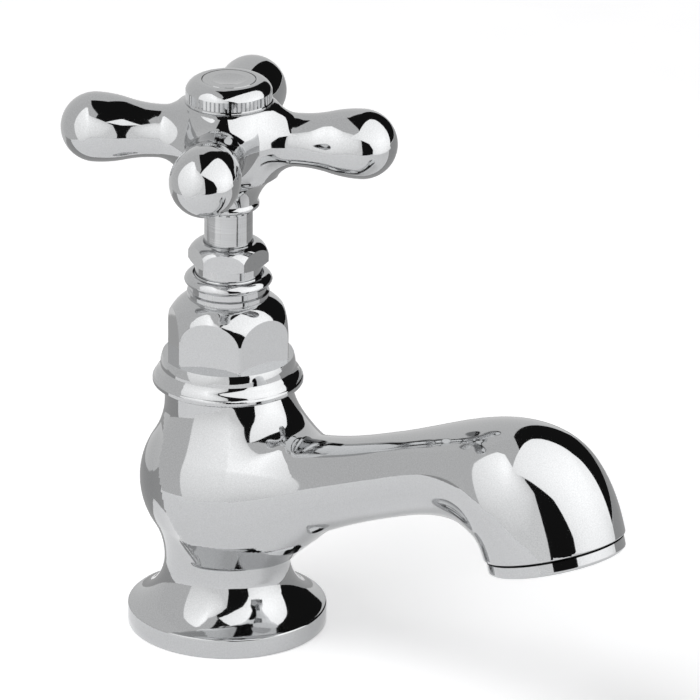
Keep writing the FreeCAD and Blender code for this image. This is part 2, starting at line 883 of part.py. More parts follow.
def make_spindle():
    """Threaded nose with the jumper's socket, bare stem, splined top with a tapped hole."""
    hole_end = "screw_seat - screw_length - screw_hole_spare"
    socket_end = "plate_high + jumper_stem_length + jumper_socket_spare"
    spindle = turned_body(
        "spindle",
        [
            ("jumper_stem_radius + running_clearance", "spindle_bottom"),
            ("spindle_nose_radius", "spindle_bottom"),
            ("spindle_nose_radius", "thread_low_z"),
            ("spindle_thread_radius", "thread_low_z + spindle_lead_in"),
            ("spindle_thread_radius", "thread_high_z"),
            ("spindle_radius", "thread_high_z"),
            ("spindle_radius", "spline_low_z"),
            ("spindle_radius - spline_depth", "spline_low_z"),
            ("spindle_radius - spline_depth", "spindle_top_z - spindle_chamfer"),
            ("spindle_radius - spline_depth - spindle_chamfer", "spindle_top_z"),
            ("screw_radius + thread_clearance", "spindle_top_z"),
            ("screw_radius + thread_clearance", hole_end),
            ("0", f"{hole_end} - screw_hole_spare"),
            ("0", f"{socket_end} + jumper_socket_cone"),
            ("jumper_stem_radius + running_clearance", socket_end),
        ],
    )
    tooth = spline_sketch(spindle, "spline_tooth", "spline_low_z", "0")
    raised = pad(spindle, tooth, "spindle_top_z - spindle_chamfer - spline_low_z", "tooth")
    doc.recompute()
    repeat(spindle, raised, SPLINE_TEETH, tooth, "spline")
    turn_about_z(spindle, "handle_turn")


def make_valve():
    """Jumper, rubber washer and its nut: they rise with the spindle but don't turn."""
    nut_low = "seat_height - washer_nut_height"
    stem_top = "plate_high + jumper_stem_length"
    turned_body(
        "jumper_valve",
        [
            ("0", f"{nut_low} - jumper_stub_end"),
            ("jumper_stub_radius", f"{nut_low} - jumper_stub_end"),
            ("jumper_stub_radius", "plate_low"),
            ("jumper_plate_radius", "plate_low"),
            ("jumper_plate_radius", "plate_high"),
            ("jumper_stem_radius", "plate_high"),
            ("jumper_stem_radius", f"{stem_top} - jumper_stem_chamfer"),
            ("jumper_stem_radius - jumper_stem_chamfer", stem_top),
            ("0", stem_top),
        ],
    )
    turned_body(
        "tap_washer",
        ring_corners(
            "jumper_stub_radius + thread_clearance", "tap_washer_radius", "seat_height", "plate_low"
        ),
    )
    nut = turned_body(
        "washer_nut",
        ring_corners(
            "jumper_stub_radius + thread_clearance",
            "washer_nut_flats * 0.5 / cos(30) - washer_nut_chamfer",
            nut_low,
            "seat_height",
        ),
    )
    trim_to_hexagon(nut, "washer_nut_flats", nut_low, "seat_height", "washer_nut_cut")


# --------------------------------------------------------------- cross handle


def make_cross_handle():
    """Hub and four arms cast in one, bored for the spline and the button."""
    handle = new_body("cross_handle")
    hub = new_sketch(handle, "hub_section")
    draw_loop(
        hub,
        [
            ("0", "collar_low_z"),
            ("collar_radius - collar_edge", "collar_low_z"),
            ("collar_radius", "collar_low_z + collar_edge"),
            ("collar_radius", "collar_low_z + collar_height - collar_edge"),
            ("collar_neck_radius", "collar_low_z + collar_height"),
            ("hub_low_radius", "hub_low_z", "hub_flare", -1),
            ("hub_top_radius", "hub_top_z", "hub_barrel", 1),
            ("0", "hub_top_z"),
        ],
    )
    revolve(handle, hub, "hub")
    arm = new_sketch(handle, "arm_section", lift=("0", "arm_z", "0"))
    club = (
        "((arm_ball_x - arm_neck_x)^2 + (arm_ball_radius - arm_neck_radius)^2)"
        " / (4 * (arm_ball_radius - arm_neck_radius))"
    )
    root = (
        "((arm_neck_x - arm_root_x)^2 + (arm_root_radius - arm_neck_radius)^2)"
        " / (2 * (arm_root_radius - arm_neck_radius))"
    )
    draw_loop(
        arm,
        [
            ("0", "0"),
            ("0", "arm_root_radius"),
            ("arm_root_x", "arm_root_radius"),
            ("arm_neck_x", "arm_neck_radius", root, 1),
            (
                middle("arm_neck_x", "arm_ball_x"),
                middle("arm_neck_radius", "arm_ball_radius"),
                club,
                1,
            ),
            ("arm_ball_x", "arm_ball_radius", club, -1),
            ("arm_ball_x + arm_ball_radius", "0", "arm_ball_radius", -1),
        ],
    )
    first_arm = revolve(handle, arm, "arm", axis="H_Axis")
    upright = new_sketch(handle, "arm_pattern_axis", "XY_Plane")
    doc.recompute()
    repeat(handle, first_arm, ARMS, upright, "arms")
    doc.recompute()
    blend_arms(handle)
    bores = new_sketch(handle, "handle_bores")
    draw_loop(
        bores,
        [
            ("0", "collar_low_z"),
            ("spindle_radius - spline_depth + running_clearance", "collar_low_z"),
            ("spindle_radius - spline_depth + running_clearance", "hub_floor_z"),
            ("button_thread_radius + thread_clearance", "hub_floor_z"),
            ("button_thread_radius + thread_clearance", "hub_top_z"),
            ("0", "hub_top_z"),
        ],
    )
    revolve(handle, bores, "handle_bore", cut=True)
    tooth = spline_sketch(handle, "socket_groove", "hub_floor_z", "running_clearance")
    cut = pocket(handle, tooth, "hub_floor_z - collar_low_z", "socket_cut")
    doc.recompute()
    repeat(handle, cut, SPLINE_TEETH, tooth, "socket_spline")
    turn_about_z(handle, "handle_turn")


def blend_arms(handle):
    """Round the creases where the arms leave the hub: the only free form edges."""
    base = handle.Tip
    creases = [
        f"Edge{number}"
        for number, edge in enumerate(base.Shape.Edges, start=1)
        if edge.Length > value("arm_neck_radius") and edge.Curve.TypeId == "Part::GeomBSplineCurve"
    ]
    feature = handle.newObject("PartDesign::Fillet", "arm_blend")
    feature.Base = (base, creases)
    feature.setExpression("Radius", bound("hub_blend"))


def make_handle_fixings():
    """Screw, washer, reeded button and the plain disc in its top."""
    screw = turned_body(
        "handle_screw",
        [
            ("0", "screw_seat - screw_length"),
            ("screw_radius - screw_tip", "screw_seat - screw_length"),
            ("screw_radius", "screw_seat - screw_length + screw_tip"),
            ("screw_radius", "screw_seat"),
            ("screw_head_radius", "screw_seat"),
            ("screw_head_radius", "screw_seat + screw_head_height * 0.5"),
            (
                "screw_head_radius - screw_head_flat",
                "screw_seat + screw_head_height",
                "screw_head_curve",
                1,
            ),
            ("0", "screw_seat + screw_head_height"),
        ],
    )
    cross = new_sketch(
        screw, "cross_slot", "XY_Plane", lift=("0", "0", "screw_seat + screw_head_height")
    )
    long_half, short_half = "screw_slot_reach", "screw_slot_half_width"
    corners = []
    for x_sign, y_sign in ((1, -1), (1, 1), (-1, 1), (-1, -1)):
        wide = (f"{x_sign} * {long_half}", f"{y_sign} * {short_half}")
        inner = (f"{x_sign} * {short_half}", f"{y_sign} * {short_half}")
        tall = (f"{x_sign} * {short_half}", f"{y_sign} * {long_half}")
        corners += [tall, inner, wide] if x_sign * y_sign < 0 else [wide, inner, tall]
    draw_loop(cross, corners)
    pocket(screw, cross, "screw_socket", "drive_slot")

    turned_body(
        "screw_washer",
        ring_corners(
            "screw_radius + screw_washer_gap", "screw_washer_radius", "hub_floor_z", "screw_seat"
        ),
    )
    button_low = "hub_top_z"
    lip_top = "hub_top_z + button_lip_height"
    seat_radius = "disc_radius + disc_gap"
    button = turned_body(
        "index_button",
        [
            ("button_thread_radius - button_wall", f"{button_low} - button_plug"),
            ("button_thread_radius", f"{button_low} - button_plug"),
            ("button_thread_radius", button_low),
            ("button_lip_radius - button_edge", button_low),
            ("button_lip_radius", f"{button_low} + button_edge"),
            ("button_lip_radius", f"{lip_top} - button_edge"),
            ("button_radius", lip_top),
            ("button_radius", "reed_top_z"),
            (seat_radius, "crown_z", "button_crown_curve", 1),
            (seat_radius, "crown_z - disc_thickness"),
            ("0", "crown_z - disc_thickness"),
            ("0", "crown_z - disc_thickness - button_wall"),
            ("button_thread_radius - button_wall", "crown_z - disc_thickness - button_wall"),
        ],
    )
    reed = new_sketch(button, "reed_groove", "XY_Plane", lift=("0", "0", "reed_high"))
    draw_loop(
        reed,
        [
            ("button_radius - reed_depth", "0"),
            ("button_radius + reed_overshoot", "-1 * reed_half_width"),
            ("button_radius + reed_overshoot", "reed_half_width"),
        ],
    )
    cut = pocket(button, reed, f"reed_high - ({lip_top})", "reed_cut")
    doc.recompute()
    repeat(button, cut, REEDS, reed, "reeds")
    dish_curve = "(disc_dish_radius^2 + disc_dish^2) / (2 * disc_dish)"
    turned_body(
        "index_disc",
        [
            ("0", "crown_z - disc_thickness"),
            ("disc_radius", "crown_z - disc_thickness"),
            ("disc_radius", "crown_z - disc_edge"),
            ("disc_radius - disc_edge", "crown_z"),
            ("disc_dish_radius", "crown_z"),
            ("0", "crown_z - disc_dish", dish_curve, -1),
        ],
    )


# ------------------------------------------------------ outlet ring and aerator


def place_in_mouth(body):
    """Stand a finished body in the mouth: its Z runs back into the spout."""
    body.Placement = FreeCAD.Placement(
        FreeCAD.Vector(value("mouth_x"), 0, value("mouth_z")),
        FreeCAD.Rotation(FreeCAD.Vector(0, -1, 0), value("mouth_tilt")),
    )
    body.setExpression(".Placement.Base.x", bound("mouth_x"))
    body.setExpression(".Placement.Base.z", bound("mouth_z"))
    body.setExpression(".Placement.Rotation.Angle", bound("mouth_tilt"))


def make_outlet():
    """Ring screwed into the mouth, with its rubber washer, cartridge and screen."""
    floor = "mouth_socket"
    washer_low = "mouth_socket - outlet_washer_thickness"
    ring = turned_body(
        "outlet_ring",
        [
            ("ring_bore", "ring_low"),
            ("ring_radius - ring_edge", "ring_low"),
            ("ring_radius", "ring_low + ring_edge", "ring_edge", 1),
            ("ring_radius", "-ring_seam"),
            ("mouth_thread_radius + ring_seam_step", "-ring_seam"),
            ("mouth_thread_radius + ring_seam_step", "0"),
            ("mouth_thread_radius", "0"),
            ("mouth_thread_radius", washer_low),
            ("aerator_radius + thread_clearance", washer_low),
            ("aerator_radius + thread_clearance", "insert_low"),
            ("ring_bore", "insert_low"),
        ],
    )
    washer = turned_body(
        "outlet_washer",
        ring_corners("water_mouth_radius", "mouth_thread_radius", washer_low, floor),
    )
    insert = turned_body(
        "aerator_insert",
        [
            ("0", "insert_high - insert_wall"),
            ("insert_post", "insert_high - insert_wall"),
            ("insert_post", "insert_low + mesh_thickness"),
            ("insert_slot", "insert_low + mesh_thickness"),
            ("insert_slot", "insert_high - insert_wall"),
            ("aerator_radius - insert_wall", "insert_high - insert_wall"),
            ("aerator_radius - insert_wall", "insert_low + mesh_thickness"),
            ("aerator_radius", "insert_low + mesh_thickness"),
            ("aerator_radius", "insert_high"),
            ("0", "insert_high"),
        ],
    )
    hole = new_sketch(insert, "jet_hole", "XY_Plane", lift=("0", "0", "insert_high"))
    draw_circle(hole, "jet_radius", x="jet_ring_radius")
    cut = pocket(insert, hole, "aerator_height", "jet")
    doc.recompute()
    repeat(insert, cut, SPOKES, hole, "jets")
    mesh = turned_body(
        "aerator_mesh",
        [
            ("0", "insert_low"),
            ("aerator_radius", "insert_low"),
            ("aerator_radius", "insert_low + mesh_thickness"),
            ("0", "insert_low + mesh_thickness"),
        ],
    )
    holes = new_sketch(
        mesh, "mesh_holes", "XY_Plane", lift=("0", "0", "insert_low + mesh_thickness")
    )
    for row in range(-MESH_RINGS, MESH_RINGS + 1):
        for column in range(-MESH_RINGS, MESH_RINGS + 1):
            if math.hypot(row, column) <= MESH_RINGS:
                x = f"mesh_pitch * {column}" if column else "0"
                y = f"mesh_pitch * {row}" if row else "0"
                draw_circle(holes, "mesh_hole", x=x, y=y)
    pocket(mesh, holes, "mesh_thickness", "mesh_openings")
    for body in (ring, washer, insert, mesh):
        place_in_mouth(body)


# ------------------------------------------------------------------ build, save

make_tap_body()
make_tail_group()
make_bonnet()
make_gland()
make_spindle()
make_valve()
make_cross_handle()
make_handle_fixings()
make_outlet()
doc.recompute()

bodies = [item for item in doc.Objects if item.TypeId == "PartDesign::Body"]
for item in doc.Objects:
    if "Invalid" in item.State or "Error" in item.State:
        raise RuntimeError(f"{item.Name} didn't build: {item.State}")
for body in bodies:
    if body.Shape.isNull() or not body.Shape.isValid() or not body.Shape.Solids:
        raise RuntimeError(f"{body.Label} has no valid solid")
    body.Shape.exportStep(f"parts/{body.Label}.step")
    print(body.Label, "solids", len(body.Shape.Solids), "volume", round(body.Shape.Volume, 1))
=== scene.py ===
import math

import bmesh
import bpy
import numpy as np
from mathutils import Matrix, Vector


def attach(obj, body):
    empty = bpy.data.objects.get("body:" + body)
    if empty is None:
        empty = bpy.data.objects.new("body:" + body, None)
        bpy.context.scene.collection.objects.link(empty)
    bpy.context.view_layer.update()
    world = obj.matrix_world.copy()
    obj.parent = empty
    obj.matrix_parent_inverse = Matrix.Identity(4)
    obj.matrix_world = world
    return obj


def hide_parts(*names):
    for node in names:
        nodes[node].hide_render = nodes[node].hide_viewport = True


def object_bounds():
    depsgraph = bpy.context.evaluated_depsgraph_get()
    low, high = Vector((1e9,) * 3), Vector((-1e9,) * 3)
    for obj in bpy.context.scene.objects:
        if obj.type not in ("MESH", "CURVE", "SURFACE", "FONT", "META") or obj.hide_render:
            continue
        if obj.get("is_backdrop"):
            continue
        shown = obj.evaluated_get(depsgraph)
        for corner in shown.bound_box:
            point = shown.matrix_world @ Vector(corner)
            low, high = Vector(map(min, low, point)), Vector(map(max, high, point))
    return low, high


# Cross handle basin tap, built up in the order it is put together. The CAD frame is in metres
# and the sizes below are in millimetres, so meshes are scaled by MM when they are made.

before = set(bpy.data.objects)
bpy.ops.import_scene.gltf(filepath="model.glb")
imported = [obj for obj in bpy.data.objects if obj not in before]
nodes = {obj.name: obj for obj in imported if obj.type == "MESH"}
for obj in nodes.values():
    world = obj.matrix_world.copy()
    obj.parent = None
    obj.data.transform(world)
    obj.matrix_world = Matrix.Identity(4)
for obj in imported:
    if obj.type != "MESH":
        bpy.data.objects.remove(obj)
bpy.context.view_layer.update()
MM = 0.001


# ------------------------------------------------------------------ threaded tail
# A half inch tail of free cutting brass, turned on a lathe, with a rolled pipe thread. It carries
# the water up and holds the tap down. The two runs of thread are parted by a turned relief.

def linear(code):
    """A linear colour from an sRGB hex code such as c8a24e."""
    channels = [int(code[i:i + 2], 16) / 255 for i in (0, 2, 4)]
    return tuple(c / 12.92 if c <= 0.04045 else ((c + 0.055) / 1.055) ** 2.4 for c in channels) + (1.0,)


def add(tree, kind, settings=None, links=None):
    """One node with its settings, and its inputs linked from other nodes' outputs."""
    made = tree.nodes.new(kind)
    for key, wanted in (settings or {}).items():
        if isinstance(key, int) or key in made.inputs:
            made.inputs[key].default_value = wanted
        else:
            setattr(made, key, wanted)
    for key, source in (links or {}).items():
        tree.links.new(source, made.inputs[key])
    return made


def new_finish(name):
    """An empty material, its node tree and its object coordinates."""
    made = bpy.data.materials.new(name)
    made.use_nodes = True
    made.node_tree.nodes.clear()
    return made, made.node_tree, add(made.node_tree, "ShaderNodeTexCoord").outputs["Object"]


def placed(name, data):
    """A mesh as an object in the scene."""
    made = bpy.data.objects.new(name, data)
    bpy.context.scene.collection.objects.link(made)
    return made


CREASE = math.radians(35.0)


def mesh_piece(name, points, faces, finish):
    """A new piece from points in millimetres, shaded smooth up to the crease angle."""
    data = bpy.data.meshes.new(name)
    data.from_pydata([(x * MM, y * MM, z * MM) for x, y, z in points], [], faces)
    data.validate()
    work = bmesh.new()
    work.from_mesh(data)
    bmesh.ops.remove_doubles(work, verts=work.verts, dist=1e-7)
    bmesh.ops.recalc_face_normals(work, faces=work.faces)
    work.to_mesh(data)
    work.free()
    data.polygons.foreach_set("use_smooth", [True] * len(data.polygons))
    data.set_sharp_from_angle(angle=CREASE)
    data.materials.append(finish)
    return placed(name, data)


def turned(rows, steps):
    """Points and faces of a closed shape turned about Z from its rows of (radius, height)."""
    points, faces = [], []
    for radius, height in rows:
        for step in range(steps):
            angle = math.tau * step / steps
            points.append((radius * math.cos(angle), radius * math.sin(angle), height))
    count = len(rows)
    for row in range(count):
        after = (row + 1) % count
        for step in range(steps):
            ahead = (step + 1) % steps
            faces.append(
                (row * steps + step, row * steps + ahead, after * steps + ahead, after * steps + step)
            )
    return points, faces


# Free cutting brass, turned: a warm yellow with fine rings left by the tool and a dull film of oil.
brass, tree, place = new_finish("turned_brass")
TOOL_FEED = 0.35  # mm between tool rings, three times the real feed so that they show
up = add(tree, "ShaderNodeSeparateXYZ", links={"Vector": place}).outputs["Z"]
turns = add(
    tree, "ShaderNodeMath", {"operation": "MULTIPLY", 1: math.tau / (TOOL_FEED * MM)}, {0: up}
).outputs[0]
rings = add(tree, "ShaderNodeMath", {"operation": "SINE"}, {0: turns}).outputs[0]
film = add(tree, "ShaderNodeTexNoise", {"Scale": 160.0, "Detail": 5.0}, {"Vector": place}).outputs["Fac"]
tint = add(
    tree, "ShaderNodeMix", {"data_type": "RGBA", 6: linear("9a7430"), 7: linear("dcbc70")}, {0: film}
).outputs[2]
gloss = add(
    tree, "ShaderNodeMapRange", {"To Min": 0.16, "To Max": 0.46}, {"Value": film}
).outputs["Result"]
relief = add(
    tree, "ShaderNodeBump", {"Strength": 0.25, "Distance": 0.01 * MM}, {"Height": rings}
).outputs["Normal"]
shader = add(
    tree, "ShaderNodeBsdfPrincipled", {"Metallic": 1.0},
    {"Base Color": tint, "Roughness": gloss, "Normal": relief},
)
add(tree, "ShaderNodeOutputMaterial", links={"Surface": shader.outputs["BSDF"]})

TAIL_RADIUS = 10.4775
TAIL_BORE = 7.0
TAIL_BEVEL = (0.3, 0.4)  # in and up at the lower end
TAIL_LOW, TAIL_HIGH = -48.0, 9.8
RELIEF_LOW, RELIEF_HIGH = -34.0, -33.0
SHANK_LOW = -0.2  # where the plain shank that fills the foot's socket begins
THREAD_PITCH = 1.814
THREAD_DEPTH = 1.0
THREAD_ROOT = TAIL_RADIUS - THREAD_DEPTH
core = mesh_piece(
    "threaded_tail_pipe",
    *turned(
        [
            (TAIL_BORE, TAIL_LOW), (THREAD_ROOT - TAIL_BEVEL[0], TAIL_LOW),
            (THREAD_ROOT, TAIL_LOW + TAIL_BEVEL[1]), (THREAD_ROOT, SHANK_LOW - THREAD_DEPTH),
            (TAIL_RADIUS, SHANK_LOW), (TAIL_RADIUS, TAIL_HIGH), (TAIL_BORE, TAIL_HIGH),
        ],
        96,
    ),
    brass,
)


CREST_SHARE, FLANK_SHARE = 0.07, 0.48  # half widths of the thread's crest and foot, in pitches


def thread_tree():
    """Geometry nodes: a ridge swept along a helix and joined to the pipe that carries it."""
    group = bpy.data.node_groups.new("rolled_thread", "GeometryNodeTree")
    face = group.interface
    face.new_socket("Pipe", in_out="INPUT", socket_type="NodeSocketGeometry")
    for label in ("Crest Radius", "Root Radius", "Pitch", "Low", "Turns"):
        face.new_socket(label, in_out="INPUT", socket_type="NodeSocketFloat")
    face.new_socket("Finish", in_out="INPUT", socket_type="NodeSocketMaterial")
    face.new_socket("Threaded Pipe", in_out="OUTPUT", socket_type="NodeSocketGeometry")
    given = add(group, "NodeGroupInput").outputs
    rise = add(
        group, "ShaderNodeMath", {"operation": "MULTIPLY"}, {0: given["Pitch"], 1: given["Turns"]}
    ).outputs[0]
    helix = add(
        group, "GeometryNodeCurveSpiral", {"Resolution": 48, "Reverse": True},  # a right-handed thread
        {"Rotations": given["Turns"], "Start Radius": given["Root Radius"],
         "End Radius": given["Root Radius"], "Height": rise},
    ).outputs["Curve"]
    upright = add(group, "GeometryNodeSetCurveNormal", {"mode": "Z_UP"}, {"Curve": helix}).outputs["Curve"]
    depth = add(
        group, "ShaderNodeMath", {"operation": "SUBTRACT"},
        {0: given["Crest Radius"], 1: given["Root Radius"]},
    ).outputs[0]
    ridge = add(group, "GeometryNodeCurvePrimitiveQuadrilateral", {"mode": "POINTS"})
    corners = ((False, -FLANK_SHARE), (True, -CREST_SHARE), (True, CREST_SHARE), (False, FLANK_SHARE))
    for corner, (on_crest, share) in enumerate(corners, 1):
        along = add(
            group, "ShaderNodeMath", {"operation": "MULTIPLY", 1: share}, {0: given["Pitch"]}
        ).outputs[0]
        links = {"Y": along, "X": depth} if on_crest else {"Y": along}
        point = add(group, "ShaderNodeCombineXYZ", links=links).outputs["Vector"]
        group.links.new(point, ridge.inputs[f"Point {corner}"])
    swept = add(
        group, "GeometryNodeCurveToMesh", {"Fill Caps": True},
        {"Curve": upright, "Profile Curve": ridge.outputs["Curve"]},
    ).outputs["Mesh"]
    lift = add(group, "ShaderNodeCombineXYZ", links={"Z": given["Low"]}).outputs["Vector"]
    raised = add(
        group, "GeometryNodeTransform", links={"Geometry": swept, "Translation": lift}
    ).outputs["Geometry"]
    joined = add(group, "GeometryNodeJoinGeometry")
    group.links.new(given["Pipe"], joined.inputs["Geometry"])
    group.links.new(raised, joined.inputs["Geometry"])
    real = add(
        group, "GeometryNodeRealizeInstances", links={"Geometry": joined.outputs["Geometry"]}
    ).outputs["Geometry"]
    dressed = add(
        group, "GeometryNodeSetMaterial", links={"Geometry": real, "Material": given["Finish"]}
    ).outputs["Geometry"]
    add(group, "NodeGroupOutput", links={"Threaded Pipe": dressed})
    return group


def apply_tree(made, group, inputs):
    """Runs a node tree on a piece with the named inputs and keeps the result as a plain mesh."""
    modifier = made.modifiers.new(group.name, "NODES")
    modifier.node_group = group
    for item in group.interface.items_tree:
        if item.in_out == "INPUT" and item.name in inputs:
            modifier[item.identifier] = inputs[item.name]
    bpy.context.view_layer.update()
    graph = bpy.context.evaluated_depsgraph_get()
    result = bpy.data.meshes.new_from_object(made.evaluated_get(graph), depsgraph=graph)
    made.modifiers.clear()
    result.name = made.name
    made.data = result
    work = bmesh.new()
    work.from_mesh(result)
    bmesh.ops.recalc_face_normals(work, faces=work.faces)
    work.to_mesh(result)
    work.free()
    result.polygons.foreach_set("use_smooth", [True] * len(result.polygons))
    result.set_sharp_from_angle(angle=CREASE)


rolled = thread_tree()
HALF_TURN = 1.0  # mm that the ridge's own width needs at each end of a run
THREAD_TOP = -1.8
for low, high in ((TAIL_LOW + HALF_TURN, RELIEF_LOW - HALF_TURN), (RELIEF_HIGH + HALF_TURN, THREAD_TOP)):
    apply_tree(
        core,
        rolled,
        {
            "Crest Radius": TAIL_RADIUS * MM,
            "Root Radius": THREAD_ROOT * MM,
            "Pitch": THREAD_PITCH * MM,
            "Low": low * MM,
            "Turns": (high - low) / THREAD_PITCH,
            "Finish": brass,
        },
    )
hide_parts("threaded_tail")
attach(core, "tap")


# ------------------------------------------------------ what clamps the tail to a deck
# The backnut is a hexagon with a flange, turned from the same brass. A stiff nylon washer lies on
# it, a soft rubber one fills the foot's recess, and a fibre seal sits on top of the tail.

def finish_node(name, finish):
    """Puts a finish in every slot of a CAD node."""
    for slot in nodes[name].material_slots:
        slot.material = finish


finish_node("backnut", brass)

# Natural nylon, moulded: a soft off white with a faint cloud in it and a satin skin.
nylon, tree, place = new_finish("moulded_nylon")
cloud = add(tree, "ShaderNodeTexNoise", {"Scale": 90.0, "Detail": 3.0}, {"Vector": place}).outputs["Fac"]
grain = add(tree, "ShaderNodeTexNoise", {"Scale": 2500.0}, {"Vector": place}).outputs["Fac"]
tint = add(
    tree, "ShaderNodeMix", {"data_type": "RGBA", 6: linear("d9d5c7"), 7: linear("efece4")}, {0: cloud}
).outputs[2]
gloss = add(
    tree, "ShaderNodeMapRange", {"To Min": 0.32, "To Max": 0.56}, {"Value": cloud}
).outputs["Result"]
relief = add(
    tree, "ShaderNodeBump", {"Strength": 0.15, "Distance": 0.02 * MM}, {"Height": grain}
).outputs["Normal"]
shader = add(
    tree, "ShaderNodeBsdfPrincipled", {"IOR": 1.53},
    {"Base Color": tint, "Roughness": gloss, "Normal": relief},
)
add(tree, "ShaderNodeOutputMaterial", links={"Surface": shader.outputs["BSDF"]})
finish_node("backnut_washer", nylon)

# Nitrile rubber, moulded: near black with a grey bloom, matt, with a fine pebbled skin.
rubber, tree, place = new_finish("moulded_nitrile_rubber")
bloom = add(tree, "ShaderNodeTexNoise", {"Scale": 220.0, "Detail": 6.0}, {"Vector": place}).outputs["Fac"]
pebble = add(tree, "ShaderNodeTexVoronoi", {"Scale": 1600.0}, {"Vector": place}).outputs["Distance"]
tint = add(
    tree, "ShaderNodeMix", {"data_type": "RGBA", 6: linear("131415"), 7: linear("303133")}, {0: bloom}
).outputs[2]
gloss = add(
    tree, "ShaderNodeMapRange", {"To Min": 0.5, "To Max": 0.8}, {"Value": bloom}
).outputs["Result"]
relief = add(
    tree, "ShaderNodeBump", {"Strength": 0.3, "Distance": 0.03 * MM}, {"Height": pebble}
).outputs["Normal"]
shader = add(
    tree, "ShaderNodeBsdfPrincipled", {"IOR": 1.52},
    {"Base Color": tint, "Roughness": gloss, "Normal": relief},
)
add(tree, "ShaderNodeOutputMaterial", links={"Surface": shader.outputs["BSDF"]})
for name in ("deck_washer", "tap_washer", "outlet_washer"):
    finish_node(name, rubber)

# Vulcanised fibre, punched from sheet: brick red with short paper fibres and a dry face.
fibre, tree, place = new_finish("vulcanised_fibre")
stretched = add(
    tree, "ShaderNodeMapping", {"Scale": (400.0, 2600.0, 2600.0)}, {"Vector": place}
).outputs["Vector"]
strands = add(tree, "ShaderNodeTexNoise", {"Scale": 1.0, "Detail": 4.0}, {"Vector": stretched}).outputs["Fac"]
tint = add(
    tree, "ShaderNodeMix", {"data_type": "RGBA", 6: linear("5f2317"), 7: linear("ab5a41")}, {0: strands}
).outputs[2]
gloss = add(
    tree, "ShaderNodeMapRange", {"To Min": 0.55, "To Max": 0.85}, {"Value": strands}
).outputs["Result"]
relief = add(
    tree, "ShaderNodeBump", {"Strength": 0.35, "Distance": 0.03 * MM}, {"Height": strands}
).outputs["Normal"]
shader = add(
    tree, "ShaderNodeBsdfPrincipled", links={"Base Color": tint, "Roughness": gloss, "Normal": relief}
)
add(tree, "ShaderNodeOutputMaterial", links={"Surface": shader.outputs["BSDF"]})
for name in ("tail_seal", "bonnet_washer"):
    finish_node(name, fibre)


# -------------------------------------------------------------------------- body
# Foot, bulb, neck and spout are one brass casting, turned and linished, buffed to a mirror and
# plated with nickel and chromium. The spout runs out of the bulb in a wide soft blend.

# Bright chromium plate on buffed brass: a neutral mirror, a touch cool. The buffing leaves very
# shallow waves some 12 mm long, and handling leaves faint hairlines and specks of dust.
chrome, tree, place = new_finish("bright_chromium_plate")
waves = add(tree, "ShaderNodeTexNoise", {"Scale": 85.0, "Detail": 1.0}, {"Vector": place}).outputs["Fac"]
peel = add(tree, "ShaderNodeTexNoise", {"Scale": 900.0, "Detail": 2.0}, {"Vector": place}).outputs["Fac"]
specks = add(tree, "ShaderNodeTexNoise", {"Scale": 3600.0, "Detail": 1.0}, {"Vector": place}).outputs["Fac"]
smears = add(tree, "ShaderNodeTexNoise", {"Scale": 60.0, "Detail": 6.0}, {"Vector": place}).outputs["Fac"]
tint = add(
    tree, "ShaderNodeMix", {"data_type": "RGBA", 6: linear("b5b6b7"), 7: linear("cdcecf")}, {0: specks}
).outputs[2]
gloss = add(
    tree, "ShaderNodeMapRange", {"To Min": 0.01, "To Max": 0.09}, {"Value": smears}
).outputs["Result"]
slow = add(
    tree, "ShaderNodeBump", {"Strength": 0.05, "Distance": 0.5 * MM}, {"Height": waves}
).outputs["Normal"]
relief = add(
    tree, "ShaderNodeBump", {"Strength": 0.02, "Distance": 0.03 * MM}, {"Height": peel, "Normal": slow}
).outputs["Normal"]
shader = add(
    tree, "ShaderNodeBsdfPrincipled", {"Metallic": 1.0},
    {"Base Color": tint, "Roughness": gloss, "Normal": relief},
)
add(tree, "ShaderNodeOutputMaterial", links={"Surface": shader.outputs["BSDF"]})


def skin(field, low, high, pitch):
    """Points and four-sided faces of the surface where a field of x, y and z is zero.

    Each grid cell that the surface crosses holds one point, which is then drawn onto the surface.
    """
    axes = [np.arange(a, b + pitch, pitch) for a, b in zip(low, high)]
    x, y, z = np.meshgrid(*axes, indexing="ij", sparse=True)
    inside = field(x, y, z) < 0
    cells = [n - 1 for n in inside.shape]
    corners = sum(
        inside[i:i + cells[0], j:j + cells[1], k:k + cells[2]].astype(np.int8)
        for i in (0, 1) for j in (0, 1) for k in (0, 1)
    )
    crossed = (corners > 0) & (corners < 8)
    number = np.full(cells, -1)
    number[crossed] = np.arange(crossed.sum())
    at = np.argwhere(crossed)
    points = np.stack([axes[a][at[:, a]] + pitch * 0.5 for a in range(3)], 1)
    for _ in range(6):
        points = points - settle(field, points)
    faces = []
    for axis in range(3):
        u, v = (axis + 1) % 3, (axis + 2) % 3
        first = [slice(None)] * 3
        second = [slice(None)] * 3
        first[axis], second[axis] = slice(0, -1), slice(1, None)
        change = inside[tuple(first)] != inside[tuple(second)]
        edge = np.argwhere(change)
        edge = edge[(edge[:, u] > 0) & (edge[:, v] > 0) & (edge[:, u] < cells[u]) & (edge[:, v] < cells[v])]
        ring = []
        for du, dv in ((1, 1), (0, 1), (0, 0), (1, 0)):
            cell = edge.copy()
            cell[:, u] -= du
            cell[:, v] -= dv
            ring.append(number[cell[:, 0], cell[:, 1], cell[:, 2]])
        faces.append(np.stack(ring, 1))
    return points, np.concatenate(faces)


def slope(field, points, reach=0.02):
    """Gradient of the field at points, from small steps along each axis."""
    sides = []
    for axis in range(3):
        step = np.zeros(3)
        step[axis] = reach
        sides.append(field(*(points + step).T) - field(*(points - step).T))
    return np.stack(sides, 1) / (2 * reach)


